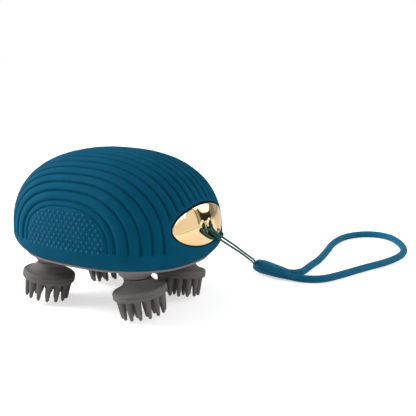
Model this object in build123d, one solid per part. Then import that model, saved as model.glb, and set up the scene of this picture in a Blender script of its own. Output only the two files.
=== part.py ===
"""Electric scalp massager: a ribbed silicone dome over four geared kneading heads.

Millimetres, +Z up, floor at z = 0 under the middle of the case, +X towards the lanyard plate.
"""
import os
from math import acos, atan2, copysign, cos, degrees, hypot, pi, radians, sin, sqrt, tan

from build123d import *

os.makedirs("parts", exist_ok=True)

# ---------------------------------------------------------------- case
HALF_LENGTH = 55.0          # at the belt, where the case is widest
HALF_WIDTH = 42.5
CROWN_Z = 78.8
BELT_Z = 36.8
RIM_Z = 26.8                # lower edge of the sleeve
RIM_TUCK_X = 6.1            # the rim is drawn in from the belt
RIM_TUCK_Y = 4.9
PLAN_POWER = 2.45           # superellipse power of the outline
DOME_POWER = 2.4            # and of the dome's profile
TUCK_POWER = 2.2
OUTLINE_POINTS = 24
DOME_SECTIONS = 9
TUCK_SECTIONS = 5
LAST_SECTION = radians(87.0)
FORM_SPARE = 0.5            # the form runs on a little below the rim

SLEEVE_WALL = 2.0
SKIN_GAP = 0.06             # between the sleeve and the housing under it
HOUSING_WALL = 2.2
HOUSING_INSET = SLEEVE_WALL + SKIN_GAP
CAVITY_INSET = HOUSING_INSET + HOUSING_WALL
FIT = 0.05                  # clearance of pieces that seat in one another
SHAFT_FIT = 0.02            # radial clearance of pieces pressed on a shaft
RUNNING_FIT = 0.04          # radial clearance of turning shafts

# ribs are parted by narrow grooves that lie in upright planes along the case
RIB_PITCH = 4.9             # along the skin, measured over the crown
RIBS_PER_SIDE = 10
GROOVE_WIDTH = 1.3
GROOVE_DEPTH = 0.7
RIB_FOOT_Z = 35.8
RIB_MARGIN = 2.6            # smooth band round the plate and the button

# ---------------------------------------------------------------- lanyard plate
PLATE_Z = 45.9
PLATE_HALF_WIDTH = 21.6
PLATE_HALF_HEIGHT = 9.6
PLATE_RECESS = 0.5
PLATE_GAP = 0.45
EYE_SPACING = 5.8           # between the two lanyard eyes
EYE_Z = 45.7
EYE_WIDTH = 2.7
EYE_HEIGHT = 3.3
EYE_LIP = 0.55
EYE_LIP_PROUD = 0.4
EYE_POCKET_DEPTH = 3.6      # behind the plate, where the string turns round
EYE_POCKET_SIDE = 1.0
POCKET_WALL = 1.6
LAMP_Y = 11.1
LAMP_Z = 41.0
LAMP_RADIUS = 0.8
LAMP_LENGTH = 5.0

# ---------------------------------------------------------------- power button and charging port
BUTTON_Z = 54.5
BUTTON_LENGTH = 18.0
BUTTON_HEIGHT = 11.0
BUTTON_GAP = 0.3
BUTTON_PROUD = 0.5
BUTTON_TRAVEL = 0.9
BUTTON_LIP = 1.2
BUTTON_SEAT_GAP = 0.15
BUTTON_LIP_THICK = 1.2
BUTTON_STEM_RADIUS = 2.2
PLUG_LENGTH = 15.0
PLUG_HEIGHT = 7.2
PLUG_GAP = 0.3
PLUG_TONGUE_LENGTH = 4.5
SOCKET_WIDTH = 9.0
SOCKET_HEIGHT = 3.2
SOCKET_DEPTH = 7.4
SOCKET_SHEET = 0.3
SOCKET_SET_BACK = 0.4       # inside the housing wall
SMOOTH_HALF_WIDTH = 12.0    # smooth panel round the button and the port

# ---------------------------------------------------------------- base
BASE_FLOOR = 1.2
BASE_EDGE_ROUND = 0.7
BASE_INSET = 0.3
BASE_GAP = 0.1
GASKET_THICK = 0.8
SPIGOT_WALL = 1.6
SPIGOT_HEIGHT = 4.2
COLLAR_TOP_RADIUS = 9.4
COLLAR_END_RADIUS = 6.8
COLLAR_HEIGHT = 4.5
COLLAR_BULGE = 0.6

# ---------------------------------------------------------------- gear train
MODULE = 1.0
ADDENDUM = 0.75 * MODULE    # stub teeth
DEDENDUM = 0.95 * MODULE
PRESSURE_ANGLE = radians(20.0)
BACKLASH = 0.12             # taken off each tooth at the pitch circle
CENTRE_TEETH = 45
OUTPUT_TEETH = 22
PINION_TEETH = 12
GEAR_WIDTH = 5.0
THRUST_GAP = 0.2
HEAD_X = 26.6
CENTRE_RADIUS = CENTRE_TEETH * MODULE / 2
GEAR_DISTANCE = (CENTRE_TEETH + OUTPUT_TEETH) * MODULE / 2
PINION_DISTANCE = (CENTRE_TEETH + PINION_TEETH) * MODULE / 2
HEAD_Y = sqrt(GEAR_DISTANCE**2 - HEAD_X**2)
AXLE_RADIUS = 2.0
AXLE_BOSS_RADIUS = 5.0
AXLE_SEAT = 3.5

SHAFT_RADIUS = 2.5
BUSH_RADIUS = 4.0
BUSH_FLANGE_RADIUS = 5.4
BUSH_FLANGE = 0.8
BUSH_LENGTH = 6.6
BUSH_BOSS_RADIUS = 6.0
SEAL_RADIUS = 4.5
SEAL_LENGTH = 2.8
SEAL_SET_IN = 0.2

GEAR_PLATE_THICK = 2.0
GEAR_PLATE_GAP = 0.6
PILLAR_X = 13.5
PILLAR_Y = 29.5
PILLAR_RADIUS = 3.0
CASE_SCREW_X = 39.5
CASE_SCREW_Y = 28.8
SCREW_RADIUS = 1.2
SCREW_HEAD_RADIUS = 2.3
SCREW_HEAD = 1.3
SCREW_LENGTH = 9.0
SCREW_BOSS_RADIUS = 3.0
SCREW_BOSS_TOP = 1.0        # below the gear plate
WEB_THICK = 2.0
WEB_SET_IN = 0.1            # a web ends this far under the housing's outer face

# ---------------------------------------------------------------- motor, battery and boards
GEARHEAD_RADIUS = 12.3
GEARHEAD_HEIGHT = 8.5
MOTOR_RADIUS = 10.2
MOTOR_HEIGHT = 13.5
MOTOR_CAP = 1.2
MOTOR_BOSS_RADIUS = 3.5
MOTOR_SHAFT_RADIUS = 1.5
MOTOR_SCREW_SPREAD = 8.5
CELL_RADIUS = 9.2
CELL_LENGTH = 65.0
TRAY_FLOOR = 1.2
TRAY_WALL = 1.2
TRAY_RAIL_HEIGHT = 3.5
TRAY_END_HEIGHT = 9.0
BOARD_X = -36.0             # face that the switch stands on
BOARD_THICK = 1.6
BOARD_HALF_WIDTH = 18.0
BOARD_HEIGHT = 21.0
POST_WIDTH = 4.0
POST_DEPTH = 5.6
POST_HEIGHT = 15.0
POST_GRIP = 1.8
SWITCH_SIDE = 6.0
SWITCH_HEIGHT = 3.5
SWITCH_TIP_RADIUS = 1.6
SWITCH_TIP = 0.8
CHARGE_BOARD_LENGTH = 10.5
CHARGE_BOARD_SET_IN = 1.0
CHARGE_BOARD_WIDTH = 14.0
CHARGE_BOARD_THICK = 0.8

# ---------------------------------------------------------------- heads
TILT = radians(10.0)        # of each head's own axis against its upright shaft
PIVOT_Z = 26.0              # where the two axes meet
LEANS = [-148.0, 15.0, -83.0, 15.0]     # direction in which each head leans at rest
HEADS = [(-1, -1, LEANS[0]), (1, -1, LEANS[1]), (1, 1, LEANS[2]), (-1, 1, LEANS[3])]
HEAD_GAP = 0.3              # below the collar
DISC_RADIUS = 13.4
DISC_BOTTOM = 15.0          # distances along a head's axis, from its pivot
DISC_TOP = 10.4
NECK_RADIUS = 6.1
NECK_LENGTH = 6.6
FLARE_RADIUS = 11.6
FLARE_SAG = 1.5
RIM_ROUND = 1.5
FINGER_BASE_RADIUS = 1.7
FINGER_TIP_RADIUS = 0.8
FINGER_SINK = 0.5
OUTER_FINGERS = 14
OUTER_RING_RADIUS = 10.3
INNER_FINGERS = 7
INNER_RING_RADIUS = 5.5
HUB_RADIUS = 4.2
HUB_TOP = 8.5
HUB_FLOOR = 1.0             # silicone under the hub
STUB_RADIUS = 2.2
STUB_TOP = 6.2
STUB_END_WALL = 0.5

# ---------------------------------------------------------------- lanyard
STRING_DIAMETER = 1.0
CORD_DIAMETER = 3.8
FERRULE_MOUTH = (40.3, 78.7)
FERRULE_TURN = -10.0
FERRULE_LENGTH = 20.5
FERRULE_WIDTH = 11.5
FERRULE_MOUTH_HEIGHT = 8.2
FERRULE_END_HEIGHT = 5.0
FERRULE_BORE_DEPTH = 5.0
FERRULE_BORE_WIDTH = 6.6
FERRULE_BORE_HEIGHT = 4.6
CORD_SEAT = 6.0
CORD_SPREAD = 4.2           # between the two cord ends, where they start
FAR_CORD_FAN = 12.0         # one end leaves the ferrule at a slant
CORD_LEAD_FAR = 2.0         # straight out of the ferrule before the first bend
CORD_LEAD_NEAR = 5.0
STRING_SPREAD = 1.6
ARC_SHARE = 0.45            # of the shorter of its two runs, which a bend's arc takes up

# heights that follow from the sizes above
BASE_TOP_Z = RIM_Z - BASE_GAP
BASE_Z = BASE_TOP_Z - BASE_FLOOR
COLLAR_END_Z = BASE_Z - COLLAR_HEIGHT
HEAD_TOP_Z = COLLAR_END_Z - HEAD_GAP
SEAL_Z = COLLAR_END_Z + SEAL_SET_IN
BUSH_Z = SEAL_Z + SEAL_LENGTH + FIT
BUSH_TOP_Z = BUSH_Z + BUSH_LENGTH
GEAR_Z = BUSH_TOP_Z + BUSH_FLANGE + THRUST_GAP
GEAR_TOP_Z = GEAR_Z + GEAR_WIDTH
HOUSING_Z = BASE_TOP_Z + GASKET_THICK + FIT
GEAR_HUB = 1.2
PLATE_BOTTOM_Z = GEAR_TOP_Z + GEAR_HUB + THRUST_GAP
DECK_Z = PLATE_BOTTOM_Z + GEAR_PLATE_THICK
PORT_Z = DECK_Z + FIT + CHARGE_BOARD_THICK + SOCKET_HEIGHT / 2
FORM_Z = RIM_Z - FORM_SPARE
FAR_X = HALF_LENGTH + RIB_MARGIN
INNER_X = HALF_LENGTH - CAVITY_INSET
FINGER_END = (PIVOT_Z - (OUTER_RING_RADIUS + FINGER_TIP_RADIUS) * sin(TILT)) / cos(TILT)
SHAFT_END_Z = PIVOT_Z - (STUB_TOP + STUB_RADIUS * tan(TILT)) * cos(TILT)


def half_axes(z, inset):
    """Half length and half width of the case at height z, drawn in by inset."""
    if z >= BELT_Z:
        rise = (z - BELT_Z) / (CROWN_Z - inset - BELT_Z)
        share = max(0.0, 1 - rise**DOME_POWER) ** (1 / DOME_POWER)
        return (HALF_LENGTH - inset) * share, (HALF_WIDTH - inset) * share
    drop = ((BELT_Z - z) / (BELT_Z - RIM_Z)) ** TUCK_POWER
    return HALF_LENGTH - inset - RIM_TUCK_X * drop, HALF_WIDTH - inset - RIM_TUCK_Y * drop


def skin_x(y, z, inset):
    """Where the case surface, drawn in by inset, stands along X at a point of its end."""
    length, width = half_axes(z, inset)
    return length * (1 - (abs(y) / width) ** PLAN_POWER) ** (1 / PLAN_POWER)


def outline(z, inset):
    """Closed outline of the case at height z."""
    length, width = half_axes(z, inset)
    power = 2 / PLAN_POWER
    points = []
    for i in range(OUTLINE_POINTS):
        c, s = cos(2 * pi * i / OUTLINE_POINTS), sin(2 * pi * i / OUTLINE_POINTS)
        points.append(Vector(length * copysign(abs(c) ** power, c), width * copysign(abs(s) ** power, s), z))
    return Wire([Edge.make_spline(points, periodic=True)])


def case_form(inset, z_low=None):
    """The dome, drawn in by inset all round, from z_low or a little under its rim up to its crown."""
    levels = [FORM_Z + (BELT_Z - FORM_Z) * i / TUCK_SECTIONS for i in range(TUCK_SECTIONS)]
    for i in range(DOME_SECTIONS):
        turn = LAST_SECTION * i / (DOME_SECTIONS - 1)
        levels.append(BELT_Z + (CROWN_Z - inset - BELT_Z) * sin(turn) ** (2 / DOME_POWER))
    form = Part() + Solid.make_loft([outline(z, inset) for z in levels])
    if z_low is None:
        return form
    return form - block(-FAR_X, FAR_X, -FAR_X, FAR_X, FORM_Z - RIB_MARGIN, z_low)


def slab(z, inset, height):
    """A level plate with the case's outline."""
    return Solid.extrude(Face(outline(z, inset)), Vector(0, 0, height))


def end_prism(sketch, y, z, x_from, x_to):
    """Extrude a sketch, drawn across Y and up Z, along X."""
    plane = Plane(origin=(x_from, y, z), x_dir=(0, 1, 0), z_dir=(1, 0, 0))
    return extrude(plane * sketch, amount=x_to - x_from)


def upright(radius, x, y, z_low, z_high):
    """An upright cylinder."""
    return Pos(x, y, z_low) * Cylinder(radius, z_high - z_low, align=(Align.CENTER, Align.CENTER, Align.MIN))


def block(x_from, x_to, y_from, y_to, z_from, z_to):
    """A box between two corners."""
    size = (x_to - x_from, y_to - y_from, z_to - z_from)
    return Pos(x_from, y_from, z_from) * Box(*size, align=(Align.MIN, Align.MIN, Align.MIN))


def turned(edges):
    """Revolve a closed outline, drawn as radius and height, round the Z axis."""
    return revolve(Plane.XZ * make_face(edges), axis=Axis.Z)


def save(shape, name):
    """Write one piece to its STEP file."""
    shape.label = name
    export_step(shape, f"parts/{name}.step")


def rib_plane(distance):
    """Distance from the middle plane at which a walk over the crown has covered this length."""
    y, walked, step = 0.0, 0.0, 0.02
    top = CROWN_Z - BELT_Z
    height = top
    while walked < distance:
        y += step
        lower = top * max(0.0, 1 - (y / HALF_WIDTH) ** DOME_POWER) ** (1 / DOME_POWER)
        walked += hypot(step, height - lower)
        height = lower
    return y


PLATE_SHAPE = Ellipse(PLATE_HALF_WIDTH, PLATE_HALF_HEIGHT)


def rib_grooves():
    """The grooves between the ribs, as one cutting tool."""
    cuts = []
    for n in range(RIBS_PER_SIDE):
        near = rib_plane((n + 0.5) * RIB_PITCH - GROOVE_WIDTH / 2)
        far = rib_plane((n + 0.5) * RIB_PITCH + GROOVE_WIDTH / 2)
        for y_from, y_to in ((near, far), (-far, -near)):
            cuts.append(block(-FAR_X, FAR_X, y_from, y_to, RIB_FOOT_Z, CROWN_Z + RIB_MARGIN))
    margin = Ellipse(PLATE_HALF_WIDTH + RIB_MARGIN, PLATE_HALF_HEIGHT + RIB_MARGIN)
    front = end_prism(margin, 0, PLATE_Z, HALF_LENGTH / 2, FAR_X)
    smooth_top = BUTTON_Z + BUTTON_HEIGHT / 2 + RIB_MARGIN
    smooth = SlotOverall(smooth_top - RIM_Z, 2 * SMOOTH_HALF_WIDTH, rotation=90)
    rear = end_prism(smooth, 0, (smooth_top + RIM_Z) / 2, -FAR_X, -HALF_LENGTH / 2)
    core = case_form(GROOVE_DEPTH)
    return Part() + cuts - core - front - rear


def make_sleeve():
    """Ribbed silicone sleeve with openings for the plate, the button and the plug."""
    sleeve = case_form(0, RIM_Z) - rib_grooves() - case_form(SLEEVE_WALL)
    opening = Ellipse(PLATE_HALF_WIDTH + PLATE_GAP, PLATE_HALF_HEIGHT + PLATE_GAP)
    sleeve -= end_prism(opening, 0, PLATE_Z, HALF_LENGTH / 2, FAR_X)
    button = SlotOverall(BUTTON_LENGTH + 2 * BUTTON_GAP, BUTTON_HEIGHT + 2 * BUTTON_GAP)
    sleeve -= end_prism(button, 0, BUTTON_Z, -FAR_X, -HALF_LENGTH / 2)
    plug = SlotOverall(PLUG_LENGTH + 2 * PLUG_GAP, PLUG_HEIGHT + 2 * PLUG_GAP)
    sleeve -= end_prism(plug, 0, PORT_Z, -FAR_X, -HALF_LENGTH / 2)
    return sleeve


EYES = [(-EYE_SPACING / 2, EYE_Z), (EYE_SPACING / 2, EYE_Z)]
POCKET_X = skin_x(0, EYE_Z, SLEEVE_WALL) - EYE_POCKET_DEPTH
SOCKET_X = -skin_x(0, PORT_Z, CAVITY_INSET) + SOCKET_SET_BACK


def screw_places():
    """Plan places of the four screws that hold the case together."""
    return [(CASE_SCREW_X, 0), (-CASE_SCREW_X, 0), (0, CASE_SCREW_Y), (0, -CASE_SCREW_Y)]


def pillar_places():
    """Plan places of the four pillars under the gear plate."""
    return [(sx * PILLAR_X, sy * PILLAR_Y) for sx in (-1, 1) for sy in (-1, 1)]


def make_housing():
    """Rigid upper shell under the sleeve, with its screw bosses and the pocket behind the eyes."""
    housing = case_form(HOUSING_INSET, HOUSING_Z) - case_form(CAVITY_INSET)
    boss_low = BASE_TOP_Z + SCREW_HEAD + 2 * FIT
    boss_top = PLATE_BOTTOM_Z - SCREW_BOSS_TOP
    web_low = BASE_TOP_Z + SPIGOT_HEIGHT + HEAD_GAP
    reach_x, reach_y = half_axes(web_low, HOUSING_INSET + WEB_SET_IN)
    for x, y in screw_places():
        half_x, half_y = (WEB_THICK / 2 * (x == 0), WEB_THICK / 2 * (y == 0))
        end_x, end_y = copysign(reach_x, x) * (x != 0), copysign(reach_y, y) * (y != 0)
        housing += block(min(x, end_x) - half_x, max(x, end_x) + half_x,
                         min(y, end_y) - half_y, max(y, end_y) + half_y, web_low, boss_top)
        housing += upright(SCREW_BOSS_RADIUS, x, y, boss_low, boss_top)
        housing -= upright(SCREW_RADIUS + SHAFT_FIT, x, y, boss_low, boss_low + SCREW_LENGTH)
    side, rise = EYE_SPACING / 2 + EYE_WIDTH / 2 + EYE_POCKET_SIDE, EYE_HEIGHT / 2 + EYE_POCKET_SIDE
    pocket_end = skin_x(side + POCKET_WALL, EYE_Z + rise + POCKET_WALL, HOUSING_INSET + WEB_SET_IN)
    housing += block(POCKET_X - POCKET_WALL, pocket_end, -side - POCKET_WALL, side + POCKET_WALL,
                     EYE_Z - rise - POCKET_WALL, EYE_Z + rise + POCKET_WALL)
    housing -= block(POCKET_X, FAR_X, -side, side, EYE_Z - rise, EYE_Z + rise)
    housing -= end_prism(Circle(LAMP_RADIUS + FIT), LAMP_Y, LAMP_Z, INNER_X / 2, FAR_X)
    button = SlotOverall(BUTTON_LENGTH + 2 * BUTTON_GAP, BUTTON_HEIGHT + 2 * BUTTON_GAP)
    housing -= end_prism(button, 0, BUTTON_Z, -FAR_X, -INNER_X / 2)
    port = SlotOverall(SOCKET_WIDTH + 2 * FIT, SOCKET_HEIGHT + 2 * FIT)
    return housing - end_prism(port, 0, PORT_Z, -FAR_X, -INNER_X / 2)


def make_front_plate():
    """Polished oval plate with two lipped lanyard eyes."""
    shell = case_form(PLATE_RECESS) - case_form(SLEEVE_WALL)
    plate = end_prism(PLATE_SHAPE, 0, PLATE_Z, HALF_LENGTH / 2, FAR_X) & shell
    lip_skin = case_form(PLATE_RECESS - EYE_LIP_PROUD) - case_form(PLATE_RECESS + EYE_LIP)
    for y, z in EYES:
        lip = Ellipse(EYE_WIDTH / 2 + EYE_LIP, EYE_HEIGHT / 2 + EYE_LIP)
        plate += end_prism(lip, y, z, HALF_LENGTH / 2, FAR_X) & lip_skin
    for y, z in EYES:
        plate -= end_prism(Ellipse(EYE_WIDTH / 2, EYE_HEIGHT / 2), y, z, HALF_LENGTH / 2, FAR_X)
    return plate - end_prism(Circle(LAMP_RADIUS + FIT), LAMP_Y, LAMP_Z, HALF_LENGTH / 2, FAR_X)


def make_lamp():
    """Clear light pipe of the status lamp, flush with the plate."""
    face = skin_x(LAMP_Y, LAMP_Z, PLATE_RECESS)
    pipe = end_prism(Circle(LAMP_RADIUS), LAMP_Y, LAMP_Z, face - LAMP_LENGTH, FAR_X)
    return pipe & case_form(PLATE_RECESS)


def make_base():
    """Base plate with its spigot, the four shaft collars, pillars and screw seats."""
    base = Part() + slab(RIM_Z, BASE_INSET, -BASE_FLOOR).moved(Location((0, 0, BASE_TOP_Z - RIM_Z)))
    lower_edge = base.edges().group_by(Axis.Z)[0]
    base = fillet(lower_edge, BASE_EDGE_ROUND)
    spigot_inset = CAVITY_INSET + HEAD_GAP
    spigot = slab(HOUSING_Z, spigot_inset, SPIGOT_HEIGHT) - slab(HOUSING_Z, spigot_inset + SPIGOT_WALL, SPIGOT_HEIGHT)
    base += Pos(0, 0, BASE_TOP_Z - HOUSING_Z) * (Part() + spigot)
    base += upright(AXLE_BOSS_RADIUS, 0, 0, BASE_TOP_Z, BUSH_TOP_Z)
    mid = ((COLLAR_TOP_RADIUS + COLLAR_END_RADIUS) / 2 + COLLAR_BULGE, BASE_Z - COLLAR_HEIGHT / 2)
    corners = [(0, COLLAR_END_Z), (COLLAR_END_RADIUS, COLLAR_END_Z), (COLLAR_TOP_RADIUS, BASE_Z),
               (BUSH_BOSS_RADIUS, BASE_Z), (BUSH_BOSS_RADIUS, BUSH_TOP_Z), (0, BUSH_TOP_Z)]
    collar = turned([Line(corners[0], corners[1]), ThreePointArc(corners[1], mid, corners[2]),
                     Polyline(*corners[2:], corners[0])])
    for sx, sy, lean in HEADS:
        base += Pos(sx * HEAD_X, sy * HEAD_Y, 0) * collar
    for x, y in pillar_places():
        base += upright(PILLAR_RADIUS, x, y, BASE_TOP_Z, PLATE_BOTTOM_Z)
    for x, y in screw_places():
        base += upright(SCREW_BOSS_RADIUS, x, y, BASE_TOP_Z, BASE_TOP_Z + SCREW_HEAD)
    for sx, sy, lean in HEADS:
        x, y = sx * HEAD_X, sy * HEAD_Y
        base -= upright(SEAL_RADIUS + SHAFT_FIT, x, y, COLLAR_END_Z, BUSH_Z)
        base -= upright(BUSH_RADIUS + SHAFT_FIT, x, y, BUSH_Z, BUSH_TOP_Z)
    for x, y in pillar_places():
        base -= upright(SCREW_RADIUS + SHAFT_FIT, x, y, PLATE_BOTTOM_Z - SCREW_LENGTH, PLATE_BOTTOM_Z)
    for x, y in screw_places():
        base -= upright(SCREW_HEAD_RADIUS + FIT, x, y, BASE_Z, BASE_Z + SCREW_HEAD + FIT)
        base -= upright(SCREW_RADIUS + FIT, x, y, BASE_Z, BASE_TOP_Z + SCREW_HEAD)
    return base - upright(AXLE_RADIUS + SHAFT_FIT, 0, 0, BUSH_TOP_Z - AXLE_SEAT, BUSH_TOP_Z)


def make_gasket():
    """Flat seal between the base and the lower edge of the housing."""
    ring = slab(BASE_TOP_Z, HOUSING_INSET + FIT, GASKET_THICK)
    ring -= Pos(0, 0, BASE_TOP_Z - HOUSING_Z) * (Part() + slab(HOUSING_Z, CAVITY_INSET, GASKET_THICK))
    return Pos(0, 0, FIT / 2) * (Part() + ring)


def screw(x, y, z_seat, towards):
    """A pan-head screw seated at z_seat whose thread points up (1) or down (-1)."""
    head = upright(SCREW_HEAD_RADIUS, x, y, min(z_seat, z_seat - towards * SCREW_HEAD),
                   max(z_seat, z_seat - towards * SCREW_HEAD))
    shank_end = z_seat + towards * SCREW_LENGTH
    return head + upright(SCREW_RADIUS, x, y, min(z_seat, shank_end), max(z_seat, shank_end))


def involute(angle):
    """Involute function of a pressure angle."""
    return tan(angle) - angle


def gear_face(teeth):
    """Toothed outline with a tooth centred on +X, its flanks laid on involutes."""
    pitch = teeth * MODULE / 2
    base, root, tip = pitch * cos(PRESSURE_ANGLE), pitch - DEDENDUM, pitch + ADDENDUM
    half = pi / (2 * teeth) - BACKLASH / (2 * pitch) + involute(PRESSURE_ANGLE)
    start = max(base, root)
    flank = [(r, half - involute(acos(base / r))) for r in (start, (start + tip) / 2, tip)]
    if root < base:
        flank.insert(0, (root, flank[0][1]))
    points = []
    for i in range(teeth):
        middle = 2 * pi * i / teeth
        side = [(r, middle - a) for r, a in flank] + [(r, middle + a) for r, a in reversed(flank)]
        points += [(r * cos(a), r * sin(a)) for r, a in side]
    return make_face(Polyline(*points, close=True))


def gear(teeth, turn, bore, x, y, z):
    """A spur gear with a short hub above it."""
    wheel = extrude(Rot(0, 0, degrees(turn)) * gear_face(teeth), amount=GEAR_WIDTH)
    hub = upright(bore + GEAR_HUB * 2, 0, 0, GEAR_WIDTH, GEAR_WIDTH + GEAR_HUB)
    return Pos(x, y, z) * (wheel + hub - upright(bore, 0, 0, 0, GEAR_WIDTH + GEAR_HUB))


def mesh_turn(teeth, direction):
    """Turn of a gear that meshes with the centre gear along this direction."""
    phase = direction / (2 * pi / CENTRE_TEETH)
    return direction + pi + (phase + 0.5) * 2 * pi / teeth


def head_place(sx, sy, lean):
    """Frame of a head: origin at its pivot, -Z along its tilted axis."""
    return Pos(sx * HEAD_X, sy * HEAD_Y, PIVOT_Z) * Rot(0, 0, lean) * Rot(0, -degrees(TILT), 0)


def on_axis(radius, top, bottom):
    """A cylinder on a head's axis between two distances from the pivot."""
    return upright(radius, 0, 0, -bottom, -top)


def finger_ring(count, radius):
    """A ring of tapered fingers under a head's disc."""
    length = FINGER_END - DISC_BOTTOM + FINGER_SINK
    middle = -FINGER_END + length / 2
    finger = Cone(FINGER_TIP_RADIUS, FINGER_BASE_RADIUS, length)
    return [Rot(0, 0, 360 * i / count) * Pos(radius, 0, middle) * finger for i in range(count)]


def make_claw(sx, sy, lean):
    """Silicone head: a flared neck, a thick round disc and its fingers."""
    rim_top, rim_low = -DISC_TOP - RIM_ROUND, -DISC_BOTTOM + RIM_ROUND
    corner = RIM_ROUND * (1 - sqrt(0.5))
    flare_mid = ((NECK_RADIUS + FLARE_RADIUS) / 2 - FLARE_SAG / 2, (-NECK_LENGTH - DISC_TOP) / 2 - FLARE_SAG / 2)
    shoulder = DISC_RADIUS - RIM_ROUND
    profile = [
        Polyline((0, -DISC_BOTTOM), (0, 0), (NECK_RADIUS, 0), (NECK_RADIUS, -NECK_LENGTH)),
        ThreePointArc((NECK_RADIUS, -NECK_LENGTH), flare_mid, (FLARE_RADIUS, -DISC_TOP)),
        Line((FLARE_RADIUS, -DISC_TOP), (shoulder, -DISC_TOP)),
        ThreePointArc((shoulder, -DISC_TOP), (DISC_RADIUS - corner, -DISC_TOP - corner), (DISC_RADIUS, rim_top)),
        Line((DISC_RADIUS, rim_top), (DISC_RADIUS, rim_low)),
        ThreePointArc((DISC_RADIUS, rim_low), (DISC_RADIUS - corner, -DISC_BOTTOM + corner), (shoulder, -DISC_BOTTOM)),
        Line((shoulder, -DISC_BOTTOM), (0, -DISC_BOTTOM)),
    ]
    claw = turned(profile)
    claw += finger_ring(OUTER_FINGERS, OUTER_RING_RADIUS) + finger_ring(INNER_FINGERS, INNER_RING_RADIUS)
    claw -= on_axis(HUB_RADIUS + FIT, HUB_TOP - FIT, DISC_BOTTOM - HUB_FLOOR + FIT)
    claw -= on_axis(STUB_RADIUS + FIT, STUB_TOP, HUB_TOP)
    claw = head_place(sx, sy, lean) * claw
    x, y = sx * HEAD_X, sy * HEAD_Y
    claw -= upright(DISC_RADIUS, x, y, HEAD_TOP_Z, PIVOT_Z + DISC_RADIUS)
    return claw - upright(SHAFT_RADIUS + FIT, x, y, SHAFT_END_Z - FIT, HEAD_TOP_Z)


def make_hub(sx, sy, lean):
    """Hard hub inside a head, pressed on the crank stub."""
    hub = on_axis(HUB_RADIUS, HUB_TOP, DISC_BOTTOM - HUB_FLOOR)
    hub -= on_axis(STUB_RADIUS + SHAFT_FIT, HUB_TOP, DISC_BOTTOM - HUB_FLOOR - STUB_END_WALL)
    return head_place(sx, sy, lean) * hub


def make_shaft(sx, sy, lean):
    """Output shaft: an upright journal that ends in a tilted stub."""
    stub = head_place(sx, sy, lean) * on_axis(STUB_RADIUS, STUB_TOP, DISC_BOTTOM - HUB_FLOOR - STUB_END_WALL - FIT)
    return upright(SHAFT_RADIUS, sx * HEAD_X, sy * HEAD_Y, SHAFT_END_Z, DECK_Z) + stub


def make_bush(x, y):
    """Flanged bearing bush of an output shaft."""
    bush = upright(BUSH_RADIUS, x, y, BUSH_Z, BUSH_TOP_Z)
    bush += upright(BUSH_FLANGE_RADIUS, x, y, BUSH_TOP_Z, BUSH_TOP_Z + BUSH_FLANGE)
    return bush - upright(SHAFT_RADIUS + RUNNING_FIT, x, y, BUSH_Z, BUSH_TOP_Z + BUSH_FLANGE)


def make_seal(x, y):
    """Ring seal of an output shaft, in the end of its collar."""
    ring = upright(SEAL_RADIUS, x, y, SEAL_Z, SEAL_Z + SEAL_LENGTH)
    return ring - upright(SHAFT_RADIUS + RUNNING_FIT, x, y, SEAL_Z, SEAL_Z + SEAL_LENGTH)


TRAY_HALF = CELL_LENGTH / 2 + FIT
CELL_Z = DECK_Z + FIT + TRAY_FLOOR + FIT + CELL_RADIUS


def make_gear_plate():
    """Deck over the gears that carries the motor, the battery tray and the boards."""
    plate = Part() + slab(BELT_Z, CAVITY_INSET + GEAR_PLATE_GAP, GEAR_PLATE_THICK)
    plate = Pos(0, 0, PLATE_BOTTOM_Z - BELT_Z) * plate
    board_top = DECK_Z + POST_HEIGHT
    for side in (-1, 1):
        y = side * (BOARD_HALF_WIDTH - POST_GRIP + POST_WIDTH / 2)
        middle = BOARD_X + BOARD_THICK / 2
        plate += block(middle - POST_DEPTH / 2, middle + POST_DEPTH / 2, y - POST_WIDTH / 2, y + POST_WIDTH / 2,
                       DECK_Z, board_top)
    plate -= block(BOARD_X - FIT, BOARD_X + BOARD_THICK + FIT, -BOARD_HALF_WIDTH - FIT, BOARD_HALF_WIDTH + FIT,
                   DECK_Z, board_top)
    for sx, sy, lean in HEADS:
        plate -= upright(SHAFT_RADIUS + RUNNING_FIT, sx * HEAD_X, sy * HEAD_Y, PLATE_BOTTOM_Z, DECK_Z)
    plate -= upright(AXLE_RADIUS + SHAFT_FIT, 0, 0, PLATE_BOTTOM_Z, DECK_Z)
    plate -= upright(MOTOR_BOSS_RADIUS + FIT, PINION_DISTANCE, 0, PLATE_BOTTOM_Z, DECK_Z)
    for x, y in pillar_places() + motor_screw_places():
        plate -= upright(SCREW_RADIUS + FIT, x, y, PLATE_BOTTOM_Z, DECK_Z)
    return plate


def motor_screw_places():
    """Plan places of the two screws that hold the gearhead."""
    return [(PINION_DISTANCE, side * MOTOR_SCREW_SPREAD) for side in (-1, 1)]


def make_gearhead():
    """Planetary gearhead of the motor, with its bearing boss through the deck."""
    z = DECK_Z + FIT
    head = upright(GEARHEAD_RADIUS, PINION_DISTANCE, 0, z, z + GEARHEAD_HEIGHT)
    head += upright(MOTOR_BOSS_RADIUS, PINION_DISTANCE, 0, PLATE_BOTTOM_Z, z)
    head -= upright(MOTOR_SHAFT_RADIUS + RUNNING_FIT, PINION_DISTANCE, 0, PLATE_BOTTOM_Z, z + GEARHEAD_HEIGHT / 2)
    for x, y in motor_screw_places():
        head -= upright(SCREW_RADIUS + SHAFT_FIT, x, y, z, PLATE_BOTTOM_Z + SCREW_LENGTH + FIT)
    return head


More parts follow.
